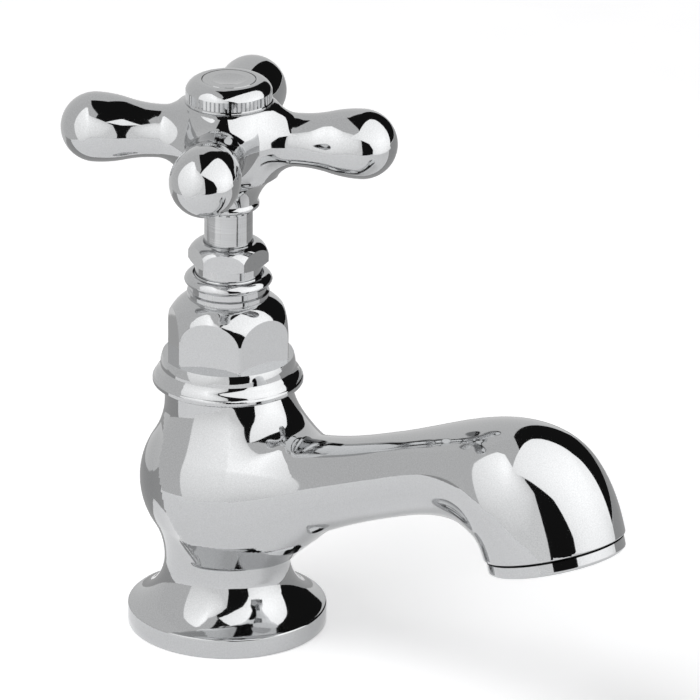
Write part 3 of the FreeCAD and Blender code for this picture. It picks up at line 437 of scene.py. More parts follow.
def settle(field, points):
    """The short move that takes each point onto the surface."""
    steep = slope(field, points)
    length = np.maximum((steep ** 2).sum(1), 0.05)
    move = steep * (field(*points.T) / length)[:, None]
    return np.clip(move, -0.5, 0.5)


def soften(a, b, radius):
    """Two fields joined, with a round fillet of that radius in the crease."""
    return np.maximum(radius, np.minimum(a, b)) - np.hypot(
        np.maximum(radius - a, 0), np.maximum(radius - b, 0)
    )


WAIST = (15.75, 17.6)
BULB = (21.95, 39.2)
NECK = (15.7, 60.5)


def swell_radius(low, high):
    """Radius of the two equal arcs of an S between two upright tangents."""
    rise, run = high[1] - low[1], high[0] - low[0]
    return (rise ** 2 + run ** 2) / (4 * abs(run))


def casting_radius(z):
    """Radius of the turned body between the waist and the top of the neck."""
    lower, upper = swell_radius(WAIST, BULB), swell_radius(BULB, NECK)
    stretches = [
        WAIST[0] + lower - np.sqrt(np.maximum(lower ** 2 - (z - WAIST[1]) ** 2, 0.01)),
        BULB[0] - lower + np.sqrt(np.maximum(lower ** 2 - (z - BULB[1]) ** 2, 0.01)),
        BULB[0] - upper + np.sqrt(np.maximum(upper ** 2 - (z - BULB[1]) ** 2, 0.01)),
        NECK[0] + upper - np.sqrt(np.maximum(upper ** 2 - (NECK[1] - z) ** 2, 0.01)),
    ]
    tests = [z < (WAIST[1] + BULB[1]) / 2, z < BULB[1], z < (BULB[1] + NECK[1]) / 2, z < NECK[1]]
    return np.select(tests, stretches, NECK[0])


def casting(x, y, z):
    """Distance from the turned part of the body, exact on its surface."""
    run = casting_radius(z + 0.05) - casting_radius(z - 0.05)
    return (np.hypot(x, y) - casting_radius(z)) / np.sqrt(1 + (run / 0.1) ** 2)


# The spout's line is a cubic curve from inside the bulb to the mouth, and its section is a circle
# that narrows to a throat and swells again to a wide belly over the mouth.
SPOUT_RISE = math.radians(18.1)
MOUTH_TILT = math.radians(16.85)
MOUTH = (107.4, 52.1)
SPOUT_LINE = np.array(
    [
        (18.0, 41.6),
        (18.0 + 55.5 * math.cos(SPOUT_RISE), 41.6 + 55.5 * math.sin(SPOUT_RISE)),
        (MOUTH[0] - 30.2 * math.sin(MOUTH_TILT), MOUTH[1] + 30.2 * math.cos(MOUTH_TILT)),
        MOUTH,
    ]
)
SPOUT_BURIED = 10.0
ROOT_RADIUS, THROAT_RADIUS, BELLY_RADIUS, MOUTH_RADIUS = 15.0, 10.35, 17.65, 17.4
THROAT_AT, BELLY_AT, TURN_AT = 0.285, 0.82, 0.22


def spout_centre(share):
    """Point of the spout's line at a share of the way from root to mouth."""
    rest = 1 - share
    weights = (rest ** 3, 3 * share * rest ** 2, 3 * share ** 2 * rest, share ** 3)
    return [sum(w * p for w, p in zip(weights, SPOUT_LINE[:, axis])) for axis in (0, 1)]


def spout_tilt(share):
    """Tilt of the section's plane: level at first, then turning down to the mouth."""
    turned_by = np.maximum((share - TURN_AT) / (1 - TURN_AT), 0) ** 1.4
    return SPOUT_RISE - (SPOUT_RISE + math.pi / 2 - MOUTH_TILT) * turned_by


def spout_radius(share):
    """Radius of the section at a share of the way."""
    near = THROAT_RADIUS + (ROOT_RADIUS - THROAT_RADIUS) * np.abs(1 - share / THROAT_AT) ** 2.7
    done = np.clip((share - THROAT_AT) / (BELLY_AT - THROAT_AT), 0, 1)
    middle = THROAT_RADIUS + (BELLY_RADIUS - THROAT_RADIUS) * (0.5 - 0.5 * np.cos(math.pi * done))
    last = BELLY_RADIUS + (MOUTH_RADIUS - BELLY_RADIUS) * ((share - BELLY_AT) / (1 - BELLY_AT)) ** 2
    return np.select([share < THROAT_AT, share < BELLY_AT], [near, middle], last)


def spout(x, y, z):
    """Distance from the spout's skin, measured in the section plane that holds each point."""
    wide = np.broadcast_arrays(x + 0.0 * z, z + 0.0 * x)
    px, pz = wide[0].ravel(), wide[1].ravel()
    shares = np.linspace(0, 1, 121)

    def ahead(share):
        cx, cz = spout_centre(share)
        tilt = spout_tilt(share)
        return (px - cx) * np.cos(tilt) + (pz - cz) * np.sin(tilt)

    def aside(share):
        cx, cz = spout_centre(share)
        tilt = spout_tilt(share)
        return (pz - cz) * np.cos(tilt) - (px - cx) * np.sin(tilt)

    best = np.full(px.shape, np.inf)
    share = np.where(ahead(0.0) < 0, 0.0, 1.0)
    before = ahead(shares[0])
    for low, high in zip(shares[:-1], shares[1:]):
        after = ahead(high)
        part = np.clip(before / np.where(before == after, 1.0, before - after), 0, 1)
        here = low + (high - low) * part
        off = np.abs(aside(here))
        take = (before >= 0) & (after < 0) & (off < best)
        share = np.where(take, here, share)
        best = np.where(take, off, best)
        before = after
    for _ in range(2):
        rate = (ahead(share + 1e-4) - ahead(share - 1e-4)) / 2e-4
        move = np.where(np.isfinite(best), -ahead(share) / np.where(rate == 0, 1, rate), 0)
        share = np.clip(share + np.clip(move, -0.01, 0.01), 0, 1)
    across = aside(share).reshape(wide[0].shape)
    buried = -ahead(0.0).reshape(wide[0].shape) - SPOUT_BURIED
    radius = spout_radius(share).reshape(wide[0].shape)
    return np.maximum(np.hypot(across, y) - radius, buried)


SPOUT_BLEND = 13.5


def body_field(x, y, z):
    """The body and its spout, joined by the cast blend."""
    return soften(casting(x, y, z), spout(x, y, z), SPOUT_BLEND)


def open_rim(work, start):
    """The ring of open edge vertices that passes nearest a point, in order."""
    rim = [v for v in work.verts if v.is_boundary]
    seed = min(rim, key=lambda v: (v.co - start).length)
    ring, last = [seed], None
    while True:
        edge = next(
            e for e in ring[-1].link_edges
            if e.is_boundary and e is not last and (len(ring) < 3 or e.other_vert(ring[-1]) is not ring[-2])
        )
        after = edge.other_vert(ring[-1])
        last = edge
        if after is seed:
            return ring
        ring.append(after)


def carry_on(work, ring, centre, axis, rows):
    """Continues a rim as rings round an axis. Each row is (radius, distance along the axis)."""
    arms = [(v.co - centre) - axis * (v.co - centre).dot(axis) for v in ring]
    arms = [arm.normalized() for arm in arms]
    for radius, along in rows:
        made = [work.verts.new(centre + arm * radius + axis * along) for arm in arms]
        for i in range(len(ring)):
            j = (i + 1) % len(ring)
            work.faces.new((ring[i], ring[j], made[j], made[i]))
        ring = made
    return ring


def close_rim(work, ring):
    """Closes a rim with a fan of triangles to its middle."""
    centre = work.verts.new(sum((v.co for v in ring), Vector()) / len(ring))
    for i in range(len(ring)):
        work.faces.new((ring[i], ring[(i + 1) % len(ring)], centre))


def arc_rows(start, end, radius, side, steps):
    """Rows along an arc between two (radius, height) points, bulging to one side."""
    (x0, z0), (x1, z1) = start, end
    mx, mz = (x0 + x1) / 2, (z0 + z1) / 2
    chord = math.hypot(x1 - x0, z1 - z0)
    reach = math.sqrt(max(radius ** 2 - chord ** 2 / 4, 0.0)) * side
    cx, cz = mx + reach * (z1 - z0) / chord, mz - reach * (x1 - x0) / chord
    a0, a1 = math.atan2(z0 - cz, x0 - cx), math.atan2(z1 - cz, x1 - cx)
    turn = (a1 - a0 + math.pi) % math.tau - math.pi
    return [
        (cx + radius * math.cos(a0 + turn * k / steps), cz + radius * math.sin(a0 + turn * k / steps))
        for k in range(1, steps + 1)
    ]


def skin_mesh(field, low, high, pitch):
    """A mesh of the field's surface, ready to be trimmed and carried on."""
    points, faces = skin(field, low, high, pitch)
    work = bmesh.new()
    verts = [work.verts.new(p) for p in points]
    for face in faces:
        if (face >= 0).all():
            try:
                work.faces.new([verts[i] for i in face])
            except ValueError:
                pass
    loose = [v for v in work.verts if not v.link_faces]
    bmesh.ops.delete(work, geom=loose, context="VERTS")
    return work


def trim(work, point, normal, near):
    """Cuts away what lies beyond a plane, among the faces that a test picks."""
    picked = [f for f in work.faces if near(f.calc_center_median())]
    edges = {e for f in picked for e in f.edges}
    verts = {v for f in picked for v in f.verts}
    geometry = [*picked, *edges, *verts]
    bmesh.ops.bisect_plane(work, geom=geometry, plane_co=point, plane_no=normal, dist=1e-5)
    beyond = [
        f for f in work.faces
        if near(f.calc_center_median()) and (f.calc_center_median() - point).dot(normal) > 1e-4
    ]
    bmesh.ops.delete(work, geom=beyond, context="FACES")


SKIN_CREASE = math.radians(40.0)


def finish_skin(work, name, finish, field, exact):
    """A piece from the work mesh, with the field's own normals wherever exact(point) holds."""
    bmesh.ops.remove_doubles(work, verts=work.verts, dist=1e-4)
    bmesh.ops.recalc_face_normals(work, faces=work.faces)
    data = bpy.data.meshes.new(name)
    work.to_mesh(data)
    work.free()
    data.polygons.foreach_set("use_smooth", [True] * len(data.polygons))
    data.set_sharp_from_angle(angle=SKIN_CREASE)
    count = len(data.vertices)
    flat = np.zeros(count * 3)
    data.vertices.foreach_get("co", flat)
    points = flat.reshape(-1, 3)
    normals = slope(field, points)
    normals /= np.maximum(np.linalg.norm(normals, axis=1, keepdims=True), 1e-9)
    normals[~exact(points)] = 0.0
    data.normals_split_custom_set_from_vertices(normals.tolist())
    data.transform(Matrix.Scale(MM, 4))
    data.materials.append(finish)
    return placed(name, data)


FOOT_RADIUS, FOOT_WALL, FOOT_EDGE, FOOT_BEVEL = 25.0, 4.7, 0.5, 0.25
SKIN_LOW, SKIN_HIGH = 21.0, 63.5
BODY_GRID = 0.8
work = skin_mesh(body_field, (-24.0, -24.0, 18.0), (128.0, 24.0, 82.0), BODY_GRID)
trim(work, Vector((0, 0, SKIN_LOW)), Vector((0, 0, -1)), lambda c: c.z < 26 and c.x < 40)
trim(work, Vector((0, 0, SKIN_HIGH)), Vector((0, 0, 1)), lambda c: math.hypot(c.x, c.y) < 16.4 and c.z > 60)
mouth_point = Vector((MOUTH[0], 0, MOUTH[1]))
mouth_way = Vector((math.sin(MOUTH_TILT), 0, -math.cos(MOUTH_TILT)))
MOUTH_LIP = 0.5  # mm that the plated lip stops short, so that a dark seam shows over the ring
lip_point = mouth_point - mouth_way * MOUTH_LIP
trim(work, lip_point, mouth_way, lambda c: c.x > 75)

# From the skin's lower edge: down the waist, out along the flare, over the foot's edge, and under
# it through the washer's recess and the tail's socket. Heights are measured down.
down = Vector((0, 0, -1))
FLARE = 13.16
ROW_STEP = 0.7
RECESS_OUTER, RECESS_INNER, RECESS_DEPTH = 22.0, 13.0, 1.6
SOCKET_RADIUS, SOCKET_DEPTH = 10.53, 11.3
foot_rows = [
    (casting_radius(np.array(z)).item(), -z) for z in np.arange(SKIN_LOW - ROW_STEP, WAIST[1], -ROW_STEP)
]
foot_rows += [
    (r, -z) for r, z in arc_rows(WAIST, (FOOT_RADIUS - FOOT_EDGE, FOOT_WALL + FOOT_EDGE), FLARE, -1, 26)
]
foot_rows += [
    (r, -z) for r, z in
    arc_rows((FOOT_RADIUS - FOOT_EDGE, FOOT_WALL + FOOT_EDGE), (FOOT_RADIUS, FOOT_WALL), FOOT_EDGE, 1, 6)
]
foot_rows += [
    (FOOT_RADIUS, -2.0), (FOOT_RADIUS, -FOOT_BEVEL), (FOOT_RADIUS - FOOT_BEVEL, 0.0),
    (RECESS_OUTER, 0.0), (RECESS_OUTER, -RECESS_DEPTH), (RECESS_INNER, -RECESS_DEPTH), (RECESS_INNER, 0.0),
    (SOCKET_RADIUS, 0.0), (SOCKET_RADIUS, -SOCKET_DEPTH), (TAIL_BORE, -SOCKET_DEPTH),
]
ring = open_rim(work, Vector((0, -20, SKIN_LOW)))
close_rim(work, carry_on(work, ring, Vector(), down, foot_rows))

# From its upper edge: over the neck and the washer's step, down the bonnet's bore and the valve
# chamber, and over the raised seat into the inlet.
BODY_TOP = 65.0
WASHER_STEP = (13.5, 63.5)
BONNET_BORE, BORE_LOW = 10.53, 56.0
CHAMBER_RADIUS, CHAMBER_FLOOR = 11.0, 41.5
SEAT_OUTER, SEAT_INNER, SEAT_TOP = 7.95, 6.35, 43.0
neck_rows = [
    (NECK[0], BODY_TOP - 0.7), (NECK[0], BODY_TOP), (WASHER_STEP[0], BODY_TOP), WASHER_STEP,
    (BONNET_BORE, WASHER_STEP[1]), (BONNET_BORE, BORE_LOW), (CHAMBER_RADIUS, BORE_LOW),
    (CHAMBER_RADIUS, CHAMBER_FLOOR), (SEAT_OUTER, CHAMBER_FLOOR), (SEAT_OUTER, SEAT_TOP),
    (SEAT_INNER, SEAT_TOP), (SEAT_INNER, CHAMBER_FLOOR), (TAIL_BORE, 40.0), (TAIL_BORE, 13.0),
]
ring = open_rim(work, Vector((0, -16, SKIN_HIGH)))
close_rim(work, carry_on(work, ring, Vector(), Vector((0, 0, 1)), neck_rows))

# From the lip: round its edge, into the seam over the ring, and up the ring's socket into the
# water way. Heights are measured from the lip, out of the mouth.
LIP_EDGE, SEAM_FLOOR, SEAM_DEPTH = 0.16, 0.4, 0.7
RING_SOCKET, RING_SOCKET_DEPTH, WATER_MOUTH = 14.05, 7.0, 11.0
seam_radius = MOUTH_RADIUS - SEAM_DEPTH
mouth_rows = [
    (MOUTH_RADIUS - 0.04, 0.1), (MOUTH_RADIUS - 0.12, LIP_EDGE), (seam_radius, LIP_EDGE),
    (seam_radius, SEAM_FLOOR), (RING_SOCKET, SEAM_FLOOR), (RING_SOCKET, -RING_SOCKET_DEPTH),
    (WATER_MOUTH, -RING_SOCKET_DEPTH), (WATER_MOUTH - 1.0, -12.0),
]
ring = open_rim(work, mouth_point)
close_rim(work, carry_on(work, ring, lip_point, mouth_way, mouth_rows))

body_casting = finish_skin(
    work, "body_casting", chrome, body_field,
    lambda p: (p[:, 2] > SKIN_LOW + 0.02)
    & ~((np.hypot(p[:, 0], p[:, 1]) < 16) & (p[:, 2] > SKIN_HIGH - 0.02))
    & ((p - np.array(lip_point)) @ np.array(mouth_way) < -0.02)
    & (body_field(*p.T) > -0.05),
)
body_casting.data.materials.append(rubber)  # painted shade: the black rubber finish, put on the body's own faces in the seam
# The seam over the ring is a real gap in shade. The body's faces deep inside it also take the black rubber
# finish as painted shade, so that the seam reads darker.
for face in body_casting.data.polygons:
    from_lip = face.center / MM - lip_point
    along = from_lip.dot(mouth_way)
    out = (from_lip - mouth_way * along).length
    seam_painted_shade = along > 0.12 and RING_SOCKET < out < MOUTH_RADIUS
    face.material_index = 1 if seam_painted_shade else 0
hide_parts("tap_body")
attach(body_casting, "tap")


# ------------------------------------------------------------------ valve and bonnet
# The jumper carries a rubber washer on the seat. The bonnet is turned from brass bar with six
# milled flats and screwed into the neck; the gland nut squeezes the packing round the spindle.

for name in ("jumper_valve", "washer_nut", "gland_washer"):
    finish_node(name, brass)
for name in ("bonnet", "gland_nut"):
    finish_node(name, chrome)

# Sintered PTFE, cut from tube: waxy white, almost no grain, a soft sheen.
ptfe, tree, place = new_finish("ptfe_packing")
wax = add(tree, "ShaderNodeTexNoise", {"Scale": 300.0, "Detail": 2.0}, {"Vector": place}).outputs["Fac"]
tint = add(
    tree, "ShaderNodeMix", {"data_type": "RGBA", 6: linear("e3e4e3"), 7: linear("f4f4f2")}, {0: wax}
).outputs[2]
gloss = add(
    tree, "ShaderNodeMapRange", {"To Min": 0.36, "To Max": 0.58}, {"Value": wax}
).outputs["Result"]
relief = add(
    tree, "ShaderNodeBump", {"Strength": 0.1, "Distance": 0.05 * MM}, {"Height": wax}
).outputs["Normal"]
shader = add(
    tree, "ShaderNodeBsdfPrincipled", {"IOR": 1.35},
    {"Base Color": tint, "Roughness": gloss, "Normal": relief},
)
add(tree, "ShaderNodeOutputMaterial", links={"Surface": shader.outputs["BSDF"]})
finish_node("gland_packing", ptfe)


# ---------------------------------------------------------------------- spindle
# A brass spindle, turned, ground and plated. Its bare stem shows between the nut and the handle,
# and more of it shows as the tap is opened.

# Chromium plate on a ground stem: as bright as the body, drawn out a little round the stem.
stem_chrome, tree, place = new_finish("chromium_plate_on_ground_stem")
GRINDING = 0.25  # mm between grinding marks, drawn far coarser than they are so that they show
squeezed = add(
    tree, "ShaderNodeMapping", {"Scale": (60.0, 60.0, 1 / (GRINDING * MM))}, {"Vector": place}
).outputs["Vector"]
marks = add(tree, "ShaderNodeTexNoise", {"Scale": 1.0, "Detail": 2.0}, {"Vector": squeezed}).outputs["Fac"]
tint = add(
    tree, "ShaderNodeMix", {"data_type": "RGBA", 6: linear("b0b1b2"), 7: linear("cccdce")}, {0: marks}
).outputs[2]
gloss = add(
    tree, "ShaderNodeMapRange", {"To Min": 0.04, "To Max": 0.16}, {"Value": marks}
).outputs["Result"]
relief = add(
    tree, "ShaderNodeBump", {"Strength": 0.04, "Distance": 0.01 * MM}, {"Height": marks}
).outputs["Normal"]
shader = add(
    tree, "ShaderNodeBsdfPrincipled", {"Metallic": 1.0},
    {"Base Color": tint, "Roughness": gloss, "Normal": relief},
)
add(tree, "ShaderNodeOutputMaterial", links={"Surface": shader.outputs["BSDF"]})
finish_node("spindle", stem_chrome)


# ------------------------------------------------------------------ cross handle
# Hub and four club ended arms, one brass casting, buffed and plated. A small collar rings the
# foot of the hub, and every arm runs into it through a cast fillet.

HANDLE_TURN = math.radians(33.0)
ARM_HEIGHT = 129.75
ARM_ROOT, ARM_NECK, ARM_BALL = (6.0, 6.7), (17.5, 6.6), (33.2, 8.65)
HUB_NECK, HUB_WIDE, HUB_TOP = (7.1, 112.9), (12.0, 120.0), (11.3, 138.7)
HUB_FLARE, HUB_BARREL, HUB_BLEND = 12.0, 36.0, 4.6


def bulging(at, start, end, radius, side):
    """Height of an arc between two points over a run of places, bulging up where side is 1."""
    (x0, y0), (x1, y1) = start, end
    chord = math.hypot(x1 - x0, y1 - y0)
    reach = math.sqrt(radius ** 2 - chord ** 2 / 4)
    cx = (x0 + x1) / 2 + side * reach * (y1 - y0) / chord
    cy = (y0 + y1) / 2 - side * reach * (x1 - x0) / chord
    return cy + side * np.sqrt(np.maximum(radius ** 2 - (at - cx) ** 2, 0.01))


def arm_radius(at):
    """Radius of an arm at a distance from the spindle's line."""
    club = ((ARM_BALL[0] - ARM_NECK[0]) ** 2 + (ARM_BALL[1] - ARM_NECK[1]) ** 2) / (
        4 * (ARM_BALL[1] - ARM_NECK[1])
    )
    half = (ARM_NECK[0] + ARM_BALL[0]) / 2
    to_root = (ARM_NECK[0] - at) / (ARM_NECK[0] - ARM_ROOT[0])
    return np.select(
        [at < ARM_ROOT[0], at < ARM_NECK[0], at < half, at < ARM_BALL[0]],
        [
            ARM_ROOT[1] + 0 * at,
            ARM_NECK[1] + (ARM_ROOT[1] - ARM_NECK[1]) * to_root ** 2,
            ARM_NECK[1] + club - np.sqrt(np.maximum(club ** 2 - (at - ARM_NECK[0]) ** 2, 0.01)),
            ARM_BALL[1] - club + np.sqrt(np.maximum(club ** 2 - (ARM_BALL[0] - at) ** 2, 0.01)),
        ],
        ARM_BALL[1],
    )


def arm(along, across, z):
    """Distance from one arm's skin, with a round end."""
    rise = z - ARM_HEIGHT
    off = np.hypot(across, rise)
    run = arm_radius(along + 0.05) - arm_radius(along - 0.05)
    side = (off - arm_radius(along)) / np.sqrt(1 + (run / 0.1) ** 2)
    past = np.maximum(along - ARM_BALL[0], 0)
    return np.where(along > ARM_BALL[0], np.hypot(past, off) - ARM_BALL[1], side)


def hub_radius(z):
    """Radius of the hub between its collar and its top."""
    flare = bulging(z, (HUB_NECK[1], HUB_NECK[0]), (HUB_WIDE[1], HUB_WIDE[0]), HUB_FLARE, -1)
    barrel = bulging(z, (HUB_WIDE[1], HUB_WIDE[0]), (HUB_TOP[1], HUB_TOP[0]), HUB_BARREL, 1)
    return np.where(z < HUB_WIDE[1], flare, barrel)


def hub(x, y, z):
    """Distance from the hub's skin."""
    run = hub_radius(z + 0.05) - hub_radius(z - 0.05)
    return (np.hypot(x, y) - hub_radius(z)) / np.sqrt(1 + (run / 0.1) ** 2)


def handle_field(x, y, z):
    """Hub and arms, in the handle's own axes before it is turned."""
    ax, ay = np.abs(x), np.abs(y)
    arms = soften(arm(ax, ay, z), arm(ay, ax, z), 1.5)
    return soften(hub(x, y, z), arms, HUB_BLEND)


HANDLE_LOW, HANDLE_HIGH = 113.2, 138.3
HANDLE_GRID = 0.55
COLLAR_RADIUS, COLLAR_LOW, SPLINE_BORE = 7.6, 111.3, 6.02
BUTTON_BORE, HUB_FLOOR = 8.55, 133.0
work = skin_mesh(handle_field, (-43.0, -43.0, 112.0), (43.0, 43.0, 140.0), HANDLE_GRID)
trim(work, Vector((0, 0, HANDLE_LOW)), down, lambda c: math.hypot(c.x, c.y) < 14 and c.z < 116)
trim(work, Vector((0, 0, HANDLE_HIGH)), Vector((0, 0, 1)), lambda c: math.hypot(c.x, c.y) < 14 and c.z > 136)
collar_rows = [
    (HUB_NECK[0], -HUB_NECK[1]), (COLLAR_RADIUS, -HUB_NECK[1] + 0.4), (COLLAR_RADIUS, -COLLAR_LOW - 0.4),
    (COLLAR_RADIUS - 0.4, -COLLAR_LOW), (SPLINE_BORE, -COLLAR_LOW), (SPLINE_BORE, -118.0),
]
ring = open_rim(work, Vector((0, -7, HANDLE_LOW)))
close_rim(work, carry_on(work, ring, Vector(), down, collar_rows))
top_rows = [
    (HUB_TOP[0] - 0.02, HUB_TOP[1] - 0.15), (HUB_TOP[0] - 0.17, HUB_TOP[1]), (BUTTON_BORE, HUB_TOP[1]),
    (BUTTON_BORE, HUB_FLOOR), (5.0, HUB_FLOOR),
]
ring = open_rim(work, Vector((0, -11, HANDLE_HIGH)))
close_rim(work, carry_on(work, ring, Vector(), Vector((0, 0, 1)), top_rows))
cross_handle = finish_skin(
    work, "cross_handle_casting", chrome, handle_field,
    lambda p: (p[:, 2] > HANDLE_LOW + 0.02)
    & ~((np.hypot(p[:, 0], p[:, 1]) < 13) & (p[:, 2] > HANDLE_HIGH - 0.02))
    & (handle_field(*p.T) > -0.05),
)
cross_handle.data.transform(Matrix.Rotation(HANDLE_TURN, 4, "Z"))
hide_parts("cross_handle")
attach(cross_handle, "handle")


# ------------------------------------------------------------ handle screw and index
# A steel screw and washer hold the handle on the spline. A reeded brass button, plated like the
# handle, screws over them and carries a plain dished disc.

# Stainless steel, turned and left as machined: a grey metal with fine circular tool marks.
steel, tree, place = new_finish("machined_stainless_steel")
grain = add(tree, "ShaderNodeTexNoise", {"Scale": 1800.0, "Detail": 4.0}, {"Vector": place}).outputs["Fac"]
tint = add(
    tree, "ShaderNodeMix", {"data_type": "RGBA", 6: linear("939597"), 7: linear("bdbfc1")}, {0: grain}
).outputs[2]
gloss = add(
    tree, "ShaderNodeMapRange", {"To Min": 0.18, "To Max": 0.42}, {"Value": grain}
).outputs["Result"]
relief = add(
    tree, "ShaderNodeBump", {"Strength": 0.12, "Distance": 0.01 * MM}, {"Height": grain}
).outputs["Normal"]
shader = add(
    tree, "ShaderNodeBsdfPrincipled", {"Metallic": 1.0},
    {"Base Color": tint, "Roughness": gloss, "Normal": relief},
)
add(tree, "ShaderNodeOutputMaterial", links={"Surface": shader.outputs["BSDF"]})
for name in ("handle_screw", "screw_washer"):
    finish_node(name, steel)
for name in ("index_button", "index_disc"):
    finish_node(name, chrome)


# ------------------------------------------------------------------------ outlet
# A plated ring screws into the spout's mouth on a rubber washer. It holds a moulded cartridge
# with a woven steel screen under it, which breaks the water up.

finish_node("outlet_ring", chrome)
finish_node("aerator_insert", nylon)

SCREEN_RADIUS, SCREEN_THICKNESS, SCREEN_AT = 12.4, 0.4, 2.3
WIRE_PITCH = 1.0  # mm, about twice the real pitch, so that the weave shows
WIRE_RADIUS = SCREEN_THICKNESS / 4


def weave_tree():
    """Geometry nodes: two sets of wires that pass over and under each other inside a round rim."""
    group = bpy.data.node_groups.new("woven_screen", "GeometryNodeTree")
    face = group.interface
    face.new_socket("Rim", in_out="INPUT", socket_type="NodeSocketGeometry")
    for label in ("Radius", "Pitch", "Wire Radius"):
        face.new_socket(label, in_out="INPUT", socket_type="NodeSocketFloat")
    face.new_socket("Finish", in_out="INPUT", socket_type="NodeSocketMaterial")
    face.new_socket("Screen", in_out="OUTPUT", socket_type="NodeSocketGeometry")
    given = add(group, "NodeGroupInput").outputs
    side = add(
        group, "ShaderNodeMath", {"operation": "MULTIPLY", 1: 2.0}, {0: given["Radius"]}
    ).outputs[0]
    gaps = add(group, "ShaderNodeMath", {"operation": "DIVIDE"}, {0: side, 1: given["Pitch"]}).outputs[0]
    count = add(group, "ShaderNodeMath", {"operation": "ADD", 1: 1.0}, {0: gaps}).outputs[0]
    grid = add(
        group, "GeometryNodeMeshGrid",
        links={"Size X": side, "Size Y": side, "Vertices X": count, "Vertices Y": count},
    ).outputs["Mesh"]
    place = add(group, "GeometryNodeInputPosition").outputs["Position"]
    away = add(group, "ShaderNodeVectorMath", {"operation": "LENGTH"}, {0: place}).outputs["Value"]
    reach = add(
        group, "ShaderNodeMath", {"operation": "SUBTRACT"}, {0: given["Radius"], 1: given["Wire Radius"]}
    ).outputs[0]
    beyond = add(group, "ShaderNodeMath", {"operation": "GREATER_THAN"}, {0: away, 1: reach}).outputs[0]
    round_grid = add(
        group, "GeometryNodeDeleteGeometry", {"domain": "POINT"}, {"Geometry": grid, "Selection": beyond}
    ).outputs["Geometry"]
    ends = add(group, "GeometryNodeInputMeshEdgeVertices").outputs
    run = add(
        group, "ShaderNodeVectorMath", {"operation": "SUBTRACT"},
        {0: ends["Position 1"], 1: ends["Position 2"]},
    ).outputs["Vector"]
    parts = add(group, "ShaderNodeSeparateXYZ", links={"Vector": run}).outputs
    across = add(group, "ShaderNodeMath", {"operation": "ABSOLUTE"}, {0: parts["X"]}).outputs[0]
    half = add(group, "ShaderNodeMath", {"operation": "MULTIPLY", 1: 0.5}, {0: given["Pitch"]}).outputs[0]
    is_warp = add(group, "ShaderNodeMath", {"operation": "GREATER_THAN"}, {0: across, 1: half}).outputs[0]
    is_weft = add(group, "ShaderNodeMath", {"operation": "SUBTRACT", 0: 1.0}, {1: is_warp}).outputs[0]
    at = add(group, "ShaderNodeSeparateXYZ", links={"Vector": place}).outputs
    sum_xy = add(group, "ShaderNodeMath", {"operation": "ADD"}, {0: at["X"], 1: at["Y"]}).outputs[0]
    steps = add(group, "ShaderNodeMath", {"operation": "DIVIDE"}, {0: sum_xy, 1: given["Pitch"]}).outputs[0]
    turn = add(group, "ShaderNodeMath", {"operation": "MULTIPLY", 1: math.pi}, {0: steps}).outputs[0]
    sway = add(group, "ShaderNodeMath", {"operation": "COSINE"}, {0: turn}).outputs[0]
    profile = add(
        group, "GeometryNodeCurvePrimitiveCircle", {"Resolution": 6}, {"Radius": given["Wire Radius"]}
    ).outputs["Curve"]
    joined = add(group, "GeometryNodeJoinGeometry")
    for chosen, sign in ((is_warp, 1.0), (is_weft, -1.0)):
        height = add(group, "ShaderNodeMath", {"operation": "MULTIPLY", 1: sign}, {0: sway}).outputs[0]
        shift = add(
            group, "ShaderNodeMath", {"operation": "MULTIPLY"}, {0: height, 1: given["Wire Radius"]}
        ).outputs[0]
        offset = add(group, "ShaderNodeCombineXYZ", links={"Z": shift}).outputs["Vector"]
        wires = add(
            group, "GeometryNodeMeshToCurve", links={"Mesh": round_grid, "Selection": chosen}
        ).outputs["Curve"]
        bent = add(
            group, "GeometryNodeSetPosition", links={"Geometry": wires, "Offset": offset}
        ).outputs["Geometry"]
        swept = add(
            group, "GeometryNodeCurveToMesh", {"Fill Caps": True}, {"Curve": bent, "Profile Curve": profile}
        ).outputs["Mesh"]
        group.links.new(swept, joined.inputs["Geometry"])
    group.links.new(given["Rim"], joined.inputs["Geometry"])
    real = add(
        group, "GeometryNodeRealizeInstances", links={"Geometry": joined.outputs["Geometry"]}
    ).outputs["Geometry"]
    dressed = add(
        group, "GeometryNodeSetMaterial", links={"Geometry": real, "Material": given["Finish"]}
    ).outputs["Geometry"]
    add(group, "NodeGroupOutput", links={"Screen": dressed})
    return group


thick = SCREEN_THICKNESS / 2
screen = mesh_piece(
    "woven_steel_screen",
    *turned(
        [
            (SCREEN_RADIUS - 0.9, -thick), (SCREEN_RADIUS, -thick),
            (SCREEN_RADIUS, thick), (SCREEN_RADIUS - 0.9, thick),
        ],
        72,
    ),
    steel,
)
apply_tree(
    screen,
    weave_tree(),
    {
        "Radius": (SCREEN_RADIUS - 0.1) * MM,
        "Pitch": WIRE_PITCH * MM,
        "Wire Radius": WIRE_RADIUS * MM,
        "Finish": steel,
    },
)
mouth_frame = Matrix.Translation(mouth_point * MM) @ Matrix.Rotation(-MOUTH_TILT, 4, "Y")
screen.data.transform(mouth_frame @ Matrix.Translation((0, 0, (-SCREEN_AT + thick) * MM)))
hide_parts("aerator_mesh")
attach(screen, "tap")


# ------------------------------------------------------------------------ studio
# A pale table, a white panel that leans over the tap from the right, a lower one on the left, a
# grey board behind, and dark cloth between them. The plate mirrors them; the camera sees the table.

CAMERA_AZIMUTH = math.radians(42.0)
CAMERA_HEIGHT = math.radians(22.144)
CAMERA_ROLL = 0.010
CAMERA_TARGET = Vector((22.47, 20.23, 73.2)) * MM
CAMERA_DISTANCE = 1.8
CAMERA_LENS = 373.25  # mm, a long lens: the photo has little perspective


def toward(azimuth, elevation):
    """Direction at an azimuth to the right of the camera's and an elevation, both in degrees."""
    a, e = CAMERA_AZIMUTH + math.radians(azimuth), math.radians(elevation)
    return Vector((math.sin(a) * math.cos(e), -math.cos(a) * math.cos(e), math.sin(e)))


GLOW_NEAR, GLOW_FAR = 0.05, 0.35  # m from the middle, between which a panel's light falls off


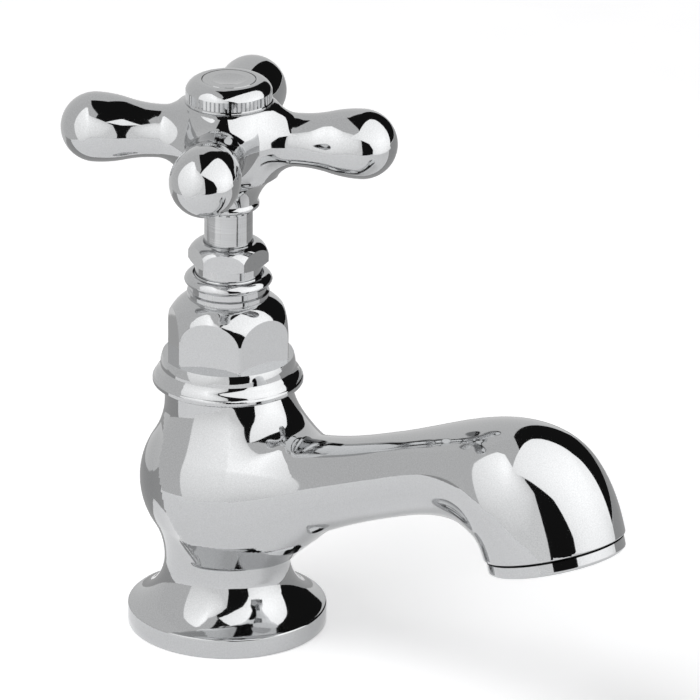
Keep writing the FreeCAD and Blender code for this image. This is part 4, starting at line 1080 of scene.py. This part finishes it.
def glow(name, strength, fall=0.0, middle=(0, 0, 0)):
    """A surface seen only by its own light, which can fall off with distance from a middle."""
    made, tree, place = new_finish(name)
    apart = add(
        tree, "ShaderNodeVectorMath", {"operation": "DISTANCE", 1: middle}, {0: place}
    ).outputs["Value"]
    power = add(
        tree, "ShaderNodeMapRange",
        {"From Min": GLOW_NEAR, "From Max": GLOW_FAR, "To Min": strength, "To Max": strength - fall},
        {"Value": apart},
    ).outputs["Result"]
    light = add(tree, "ShaderNodeEmission", links={"Strength": power})
    add(tree, "ShaderNodeOutputMaterial", links={"Surface": light.outputs["Emission"]})
    return made


def studio(rightward, closer, up):
    """A point in metres from millimetres to the right of the tap, toward the camera and up."""
    return (toward(90, 0) * rightward + toward(0, 0) * closer + Vector((0, 0, up))) * MM


def mirrored_only(made):
    """Makes a piece of the studio that only the plate sees."""
    made.visible_camera = False
    made.visible_diffuse = False
    made.visible_shadow = False
    made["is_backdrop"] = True


def card(name, look, corners, middle):
    """A card round the tap: its outline's corners and a middle that they fan out from."""
    points = [studio(*corner) for corner in [*corners, middle]]
    count = len(corners)
    data = bpy.data.meshes.new(name)
    data.from_pydata(points, [], [(i, (i + 1) % count, count) for i in range(count)])
    data.materials.append(look)
    mirrored_only(placed(name, data))


card(
    "right_panel", glow("white_diffuser", 1.8, 0.55, studio(230, 90, 180)),
    [
        (291, 410, -70), (249, 327, 119), (150, 285, 230), (60, 250, 255), (-40, 140, 236), (15, 60, 236),
        (46, 0, 250), (75, -45, 262), (113, -72, 274), (292, -108, 288), (354, -46, 88), (545, -116, 13),
        (545, -52, -40),
    ],
    (300, 90, 160),
)
card(
    "left_panel", glow("white_board", 1.75, 0.75, studio(-120, 120, 330)),
    [
        (-190, 120, -40), (-115, 20, 150), (-110, -5, 300), (-130, 15, 390), (-150, 60, 430),
        (-200, 240, 540), (-120, 400, 540), (-1, 465, 374), (30, 560, 90), (30, 600, -60), (-167, 531, -60),
    ],
    (-110, 250, 80),
)
card(
    "back_board", glow("grey_board", 0.74),
    [(-207, -102, -243), (-244, -150, 400), (-17, -99, 344), (215, -481, 103), (215, -481, -200)],
    (-30, -230, 100),
)
CLOTH_AT = 0.6  # mm above the table, which it covers behind the tap
card(
    "back_cloth", glow("grey_cloth", 0.42),
    [
        (-1500, -22, CLOTH_AT), (-60, -22, CLOTH_AT), (0, -40, CLOTH_AT), (60, -30, CLOTH_AT),
        (1500, -30, CLOTH_AT), (1500, -1500, CLOTH_AT), (-1500, -1500, CLOTH_AT),
    ],
    (0, -600, CLOTH_AT),
)
card(
    "left_wall", glow("grey_wall", 0.72),
    [
        (-300, -1230, -60), (-300, -1230, 1300), (-270, -300, 1300), (-220, 620, 1300), (-220, 620, -60),
        (-260, -100, -60),
    ],
    (-262, -200, 500),
)
TENT_RADIUS = 2.4
tent = bpy.data.meshes.new("cloth_tent")
work = bmesh.new()
bmesh.ops.create_uvsphere(work, u_segments=32, v_segments=16, radius=TENT_RADIUS)
bmesh.ops.reverse_faces(work, faces=work.faces)
work.to_mesh(tent)
work.free()
tent.materials.append(glow("black_cloth", 0.01))
mirrored_only(placed("cloth_tent", tent))


def looked_at(tree):
    """The light path of a ray, and 1 where the camera, the plate or a clear thing looks, else 0."""
    ray = add(tree, "ShaderNodeLightPath").outputs
    either = add(
        tree, "ShaderNodeMath", {"operation": "MAXIMUM"}, {0: ray["Is Camera Ray"], 1: ray["Is Glossy Ray"]}
    ).outputs[0]
    any_of = add(
        tree, "ShaderNodeMath", {"operation": "MAXIMUM"}, {0: either, 1: ray["Is Transmission Ray"]}
    ).outputs[0]
    return ray, any_of


# Matt white laminate: pale, even, and lit so that it shows as white and keeps a soft shadow. The
# camera, the plate and clear things see it with a little glow of its own, the plate with less of
# it. Seen from below, it is clear, so that the tail can be looked at.
FLOOR_GLOW, LESS_IN_PLATE = 0.42, -0.12
laminate, tree, place = new_finish("matt_white_laminate")
ray, seen = looked_at(tree)
mottle = add(tree, "ShaderNodeTexNoise", {"Scale": 40.0, "Detail": 3.0}, {"Vector": place}).outputs["Fac"]
pale = add(
    tree, "ShaderNodeMix", {"data_type": "RGBA", 6: linear("e7e7e8"), 7: linear("efeff0")}, {0: mottle}
).outputs[2]
matt = add(tree, "ShaderNodeBsdfDiffuse", links={"Color": pale})
lit = add(tree, "ShaderNodeMath", {"operation": "MULTIPLY", 1: FLOOR_GLOW}, {0: seen}).outputs[0]
own = add(
    tree, "ShaderNodeMath", {"operation": "MULTIPLY_ADD", 1: LESS_IN_PLATE},
    {0: ray["Is Glossy Ray"], 2: lit},
).outputs[0]
gleam = add(tree, "ShaderNodeEmission", links={"Strength": own})
both = add(tree, "ShaderNodeAddShader", links={0: matt.outputs["BSDF"], 1: gleam.outputs["Emission"]})
clear = add(tree, "ShaderNodeBsdfTransparent")
back = add(tree, "ShaderNodeNewGeometry").outputs["Backfacing"]
sided = add(tree, "ShaderNodeMixShader", links={"Fac": back, 1: both.outputs[0], 2: clear.outputs["BSDF"]})
add(tree, "ShaderNodeOutputMaterial", links={"Surface": sided.outputs["Shader"]})

TABLE_FRONT, TABLE_BACK, TABLE_SIDE = 0.40, -4.0, 3.0
forward, sideways = toward(0, 0), toward(90, 0)
corners = [
    forward * reach + sideways * aside
    for reach, aside in (
        (TABLE_FRONT, -TABLE_SIDE), (TABLE_FRONT, TABLE_SIDE),
        (TABLE_BACK, TABLE_SIDE), (TABLE_BACK, -TABLE_SIDE),
    )
]
table = bpy.data.meshes.new("table")
table.from_pydata([tuple(c) for c in corners], [], [(0, 1, 2, 3)])
table.materials.append(laminate)
placed("table", table)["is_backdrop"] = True

world = bpy.data.worlds.new("studio")
bpy.context.scene.world = world
world.use_nodes = True
tree = world.node_tree
tree.nodes.clear()
ray, seen = looked_at(tree)
strength = add(
    tree, "ShaderNodeMapRange", {"To Min": 0.62, "To Max": 1.0}, {"Value": seen}
).outputs["Result"]
sky = add(tree, "ShaderNodeBackground", links={"Strength": strength})
add(tree, "ShaderNodeOutputWorld", links={"Surface": sky.outputs["Background"]})

LAMP_DISTANCE = 1.2
lamp = bpy.data.lights.new("soft_overhead", "AREA")
lamp.shape = "DISK"
lamp.size = 0.7
lamp.energy = 6.0
lamp_object = bpy.data.objects.new("soft_overhead", lamp)
overhead = toward(-50, 62)
lamp_object.location = overhead * LAMP_DISTANCE
lamp_object.rotation_mode = "QUATERNION"
lamp_object.rotation_quaternion = overhead.to_track_quat("Z", "Y")
lamp_object.visible_glossy = False
bpy.context.scene.collection.objects.link(lamp_object)

backward = toward(0, math.degrees(CAMERA_HEIGHT))
right = sideways
upward = backward.cross(right)
rolled_right = right * math.cos(CAMERA_ROLL) + upward * math.sin(CAMERA_ROLL)
rolled_up = upward * math.cos(CAMERA_ROLL) - right * math.sin(CAMERA_ROLL)
lens = bpy.data.cameras.new("camera")
lens.sensor_width = 36.0
lens.lens = CAMERA_LENS
lens.clip_end = 20.0
camera = bpy.data.objects.new("camera", lens)
camera.matrix_world = Matrix.Translation(CAMERA_TARGET + backward * CAMERA_DISTANCE) @ Matrix(
    (rolled_right, rolled_up, backward)
).transposed().to_4x4()
bpy.context.scene.collection.objects.link(camera)
bpy.context.scene.camera = camera

bpy.context.scene.view_settings.view_transform = "Standard"

low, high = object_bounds()
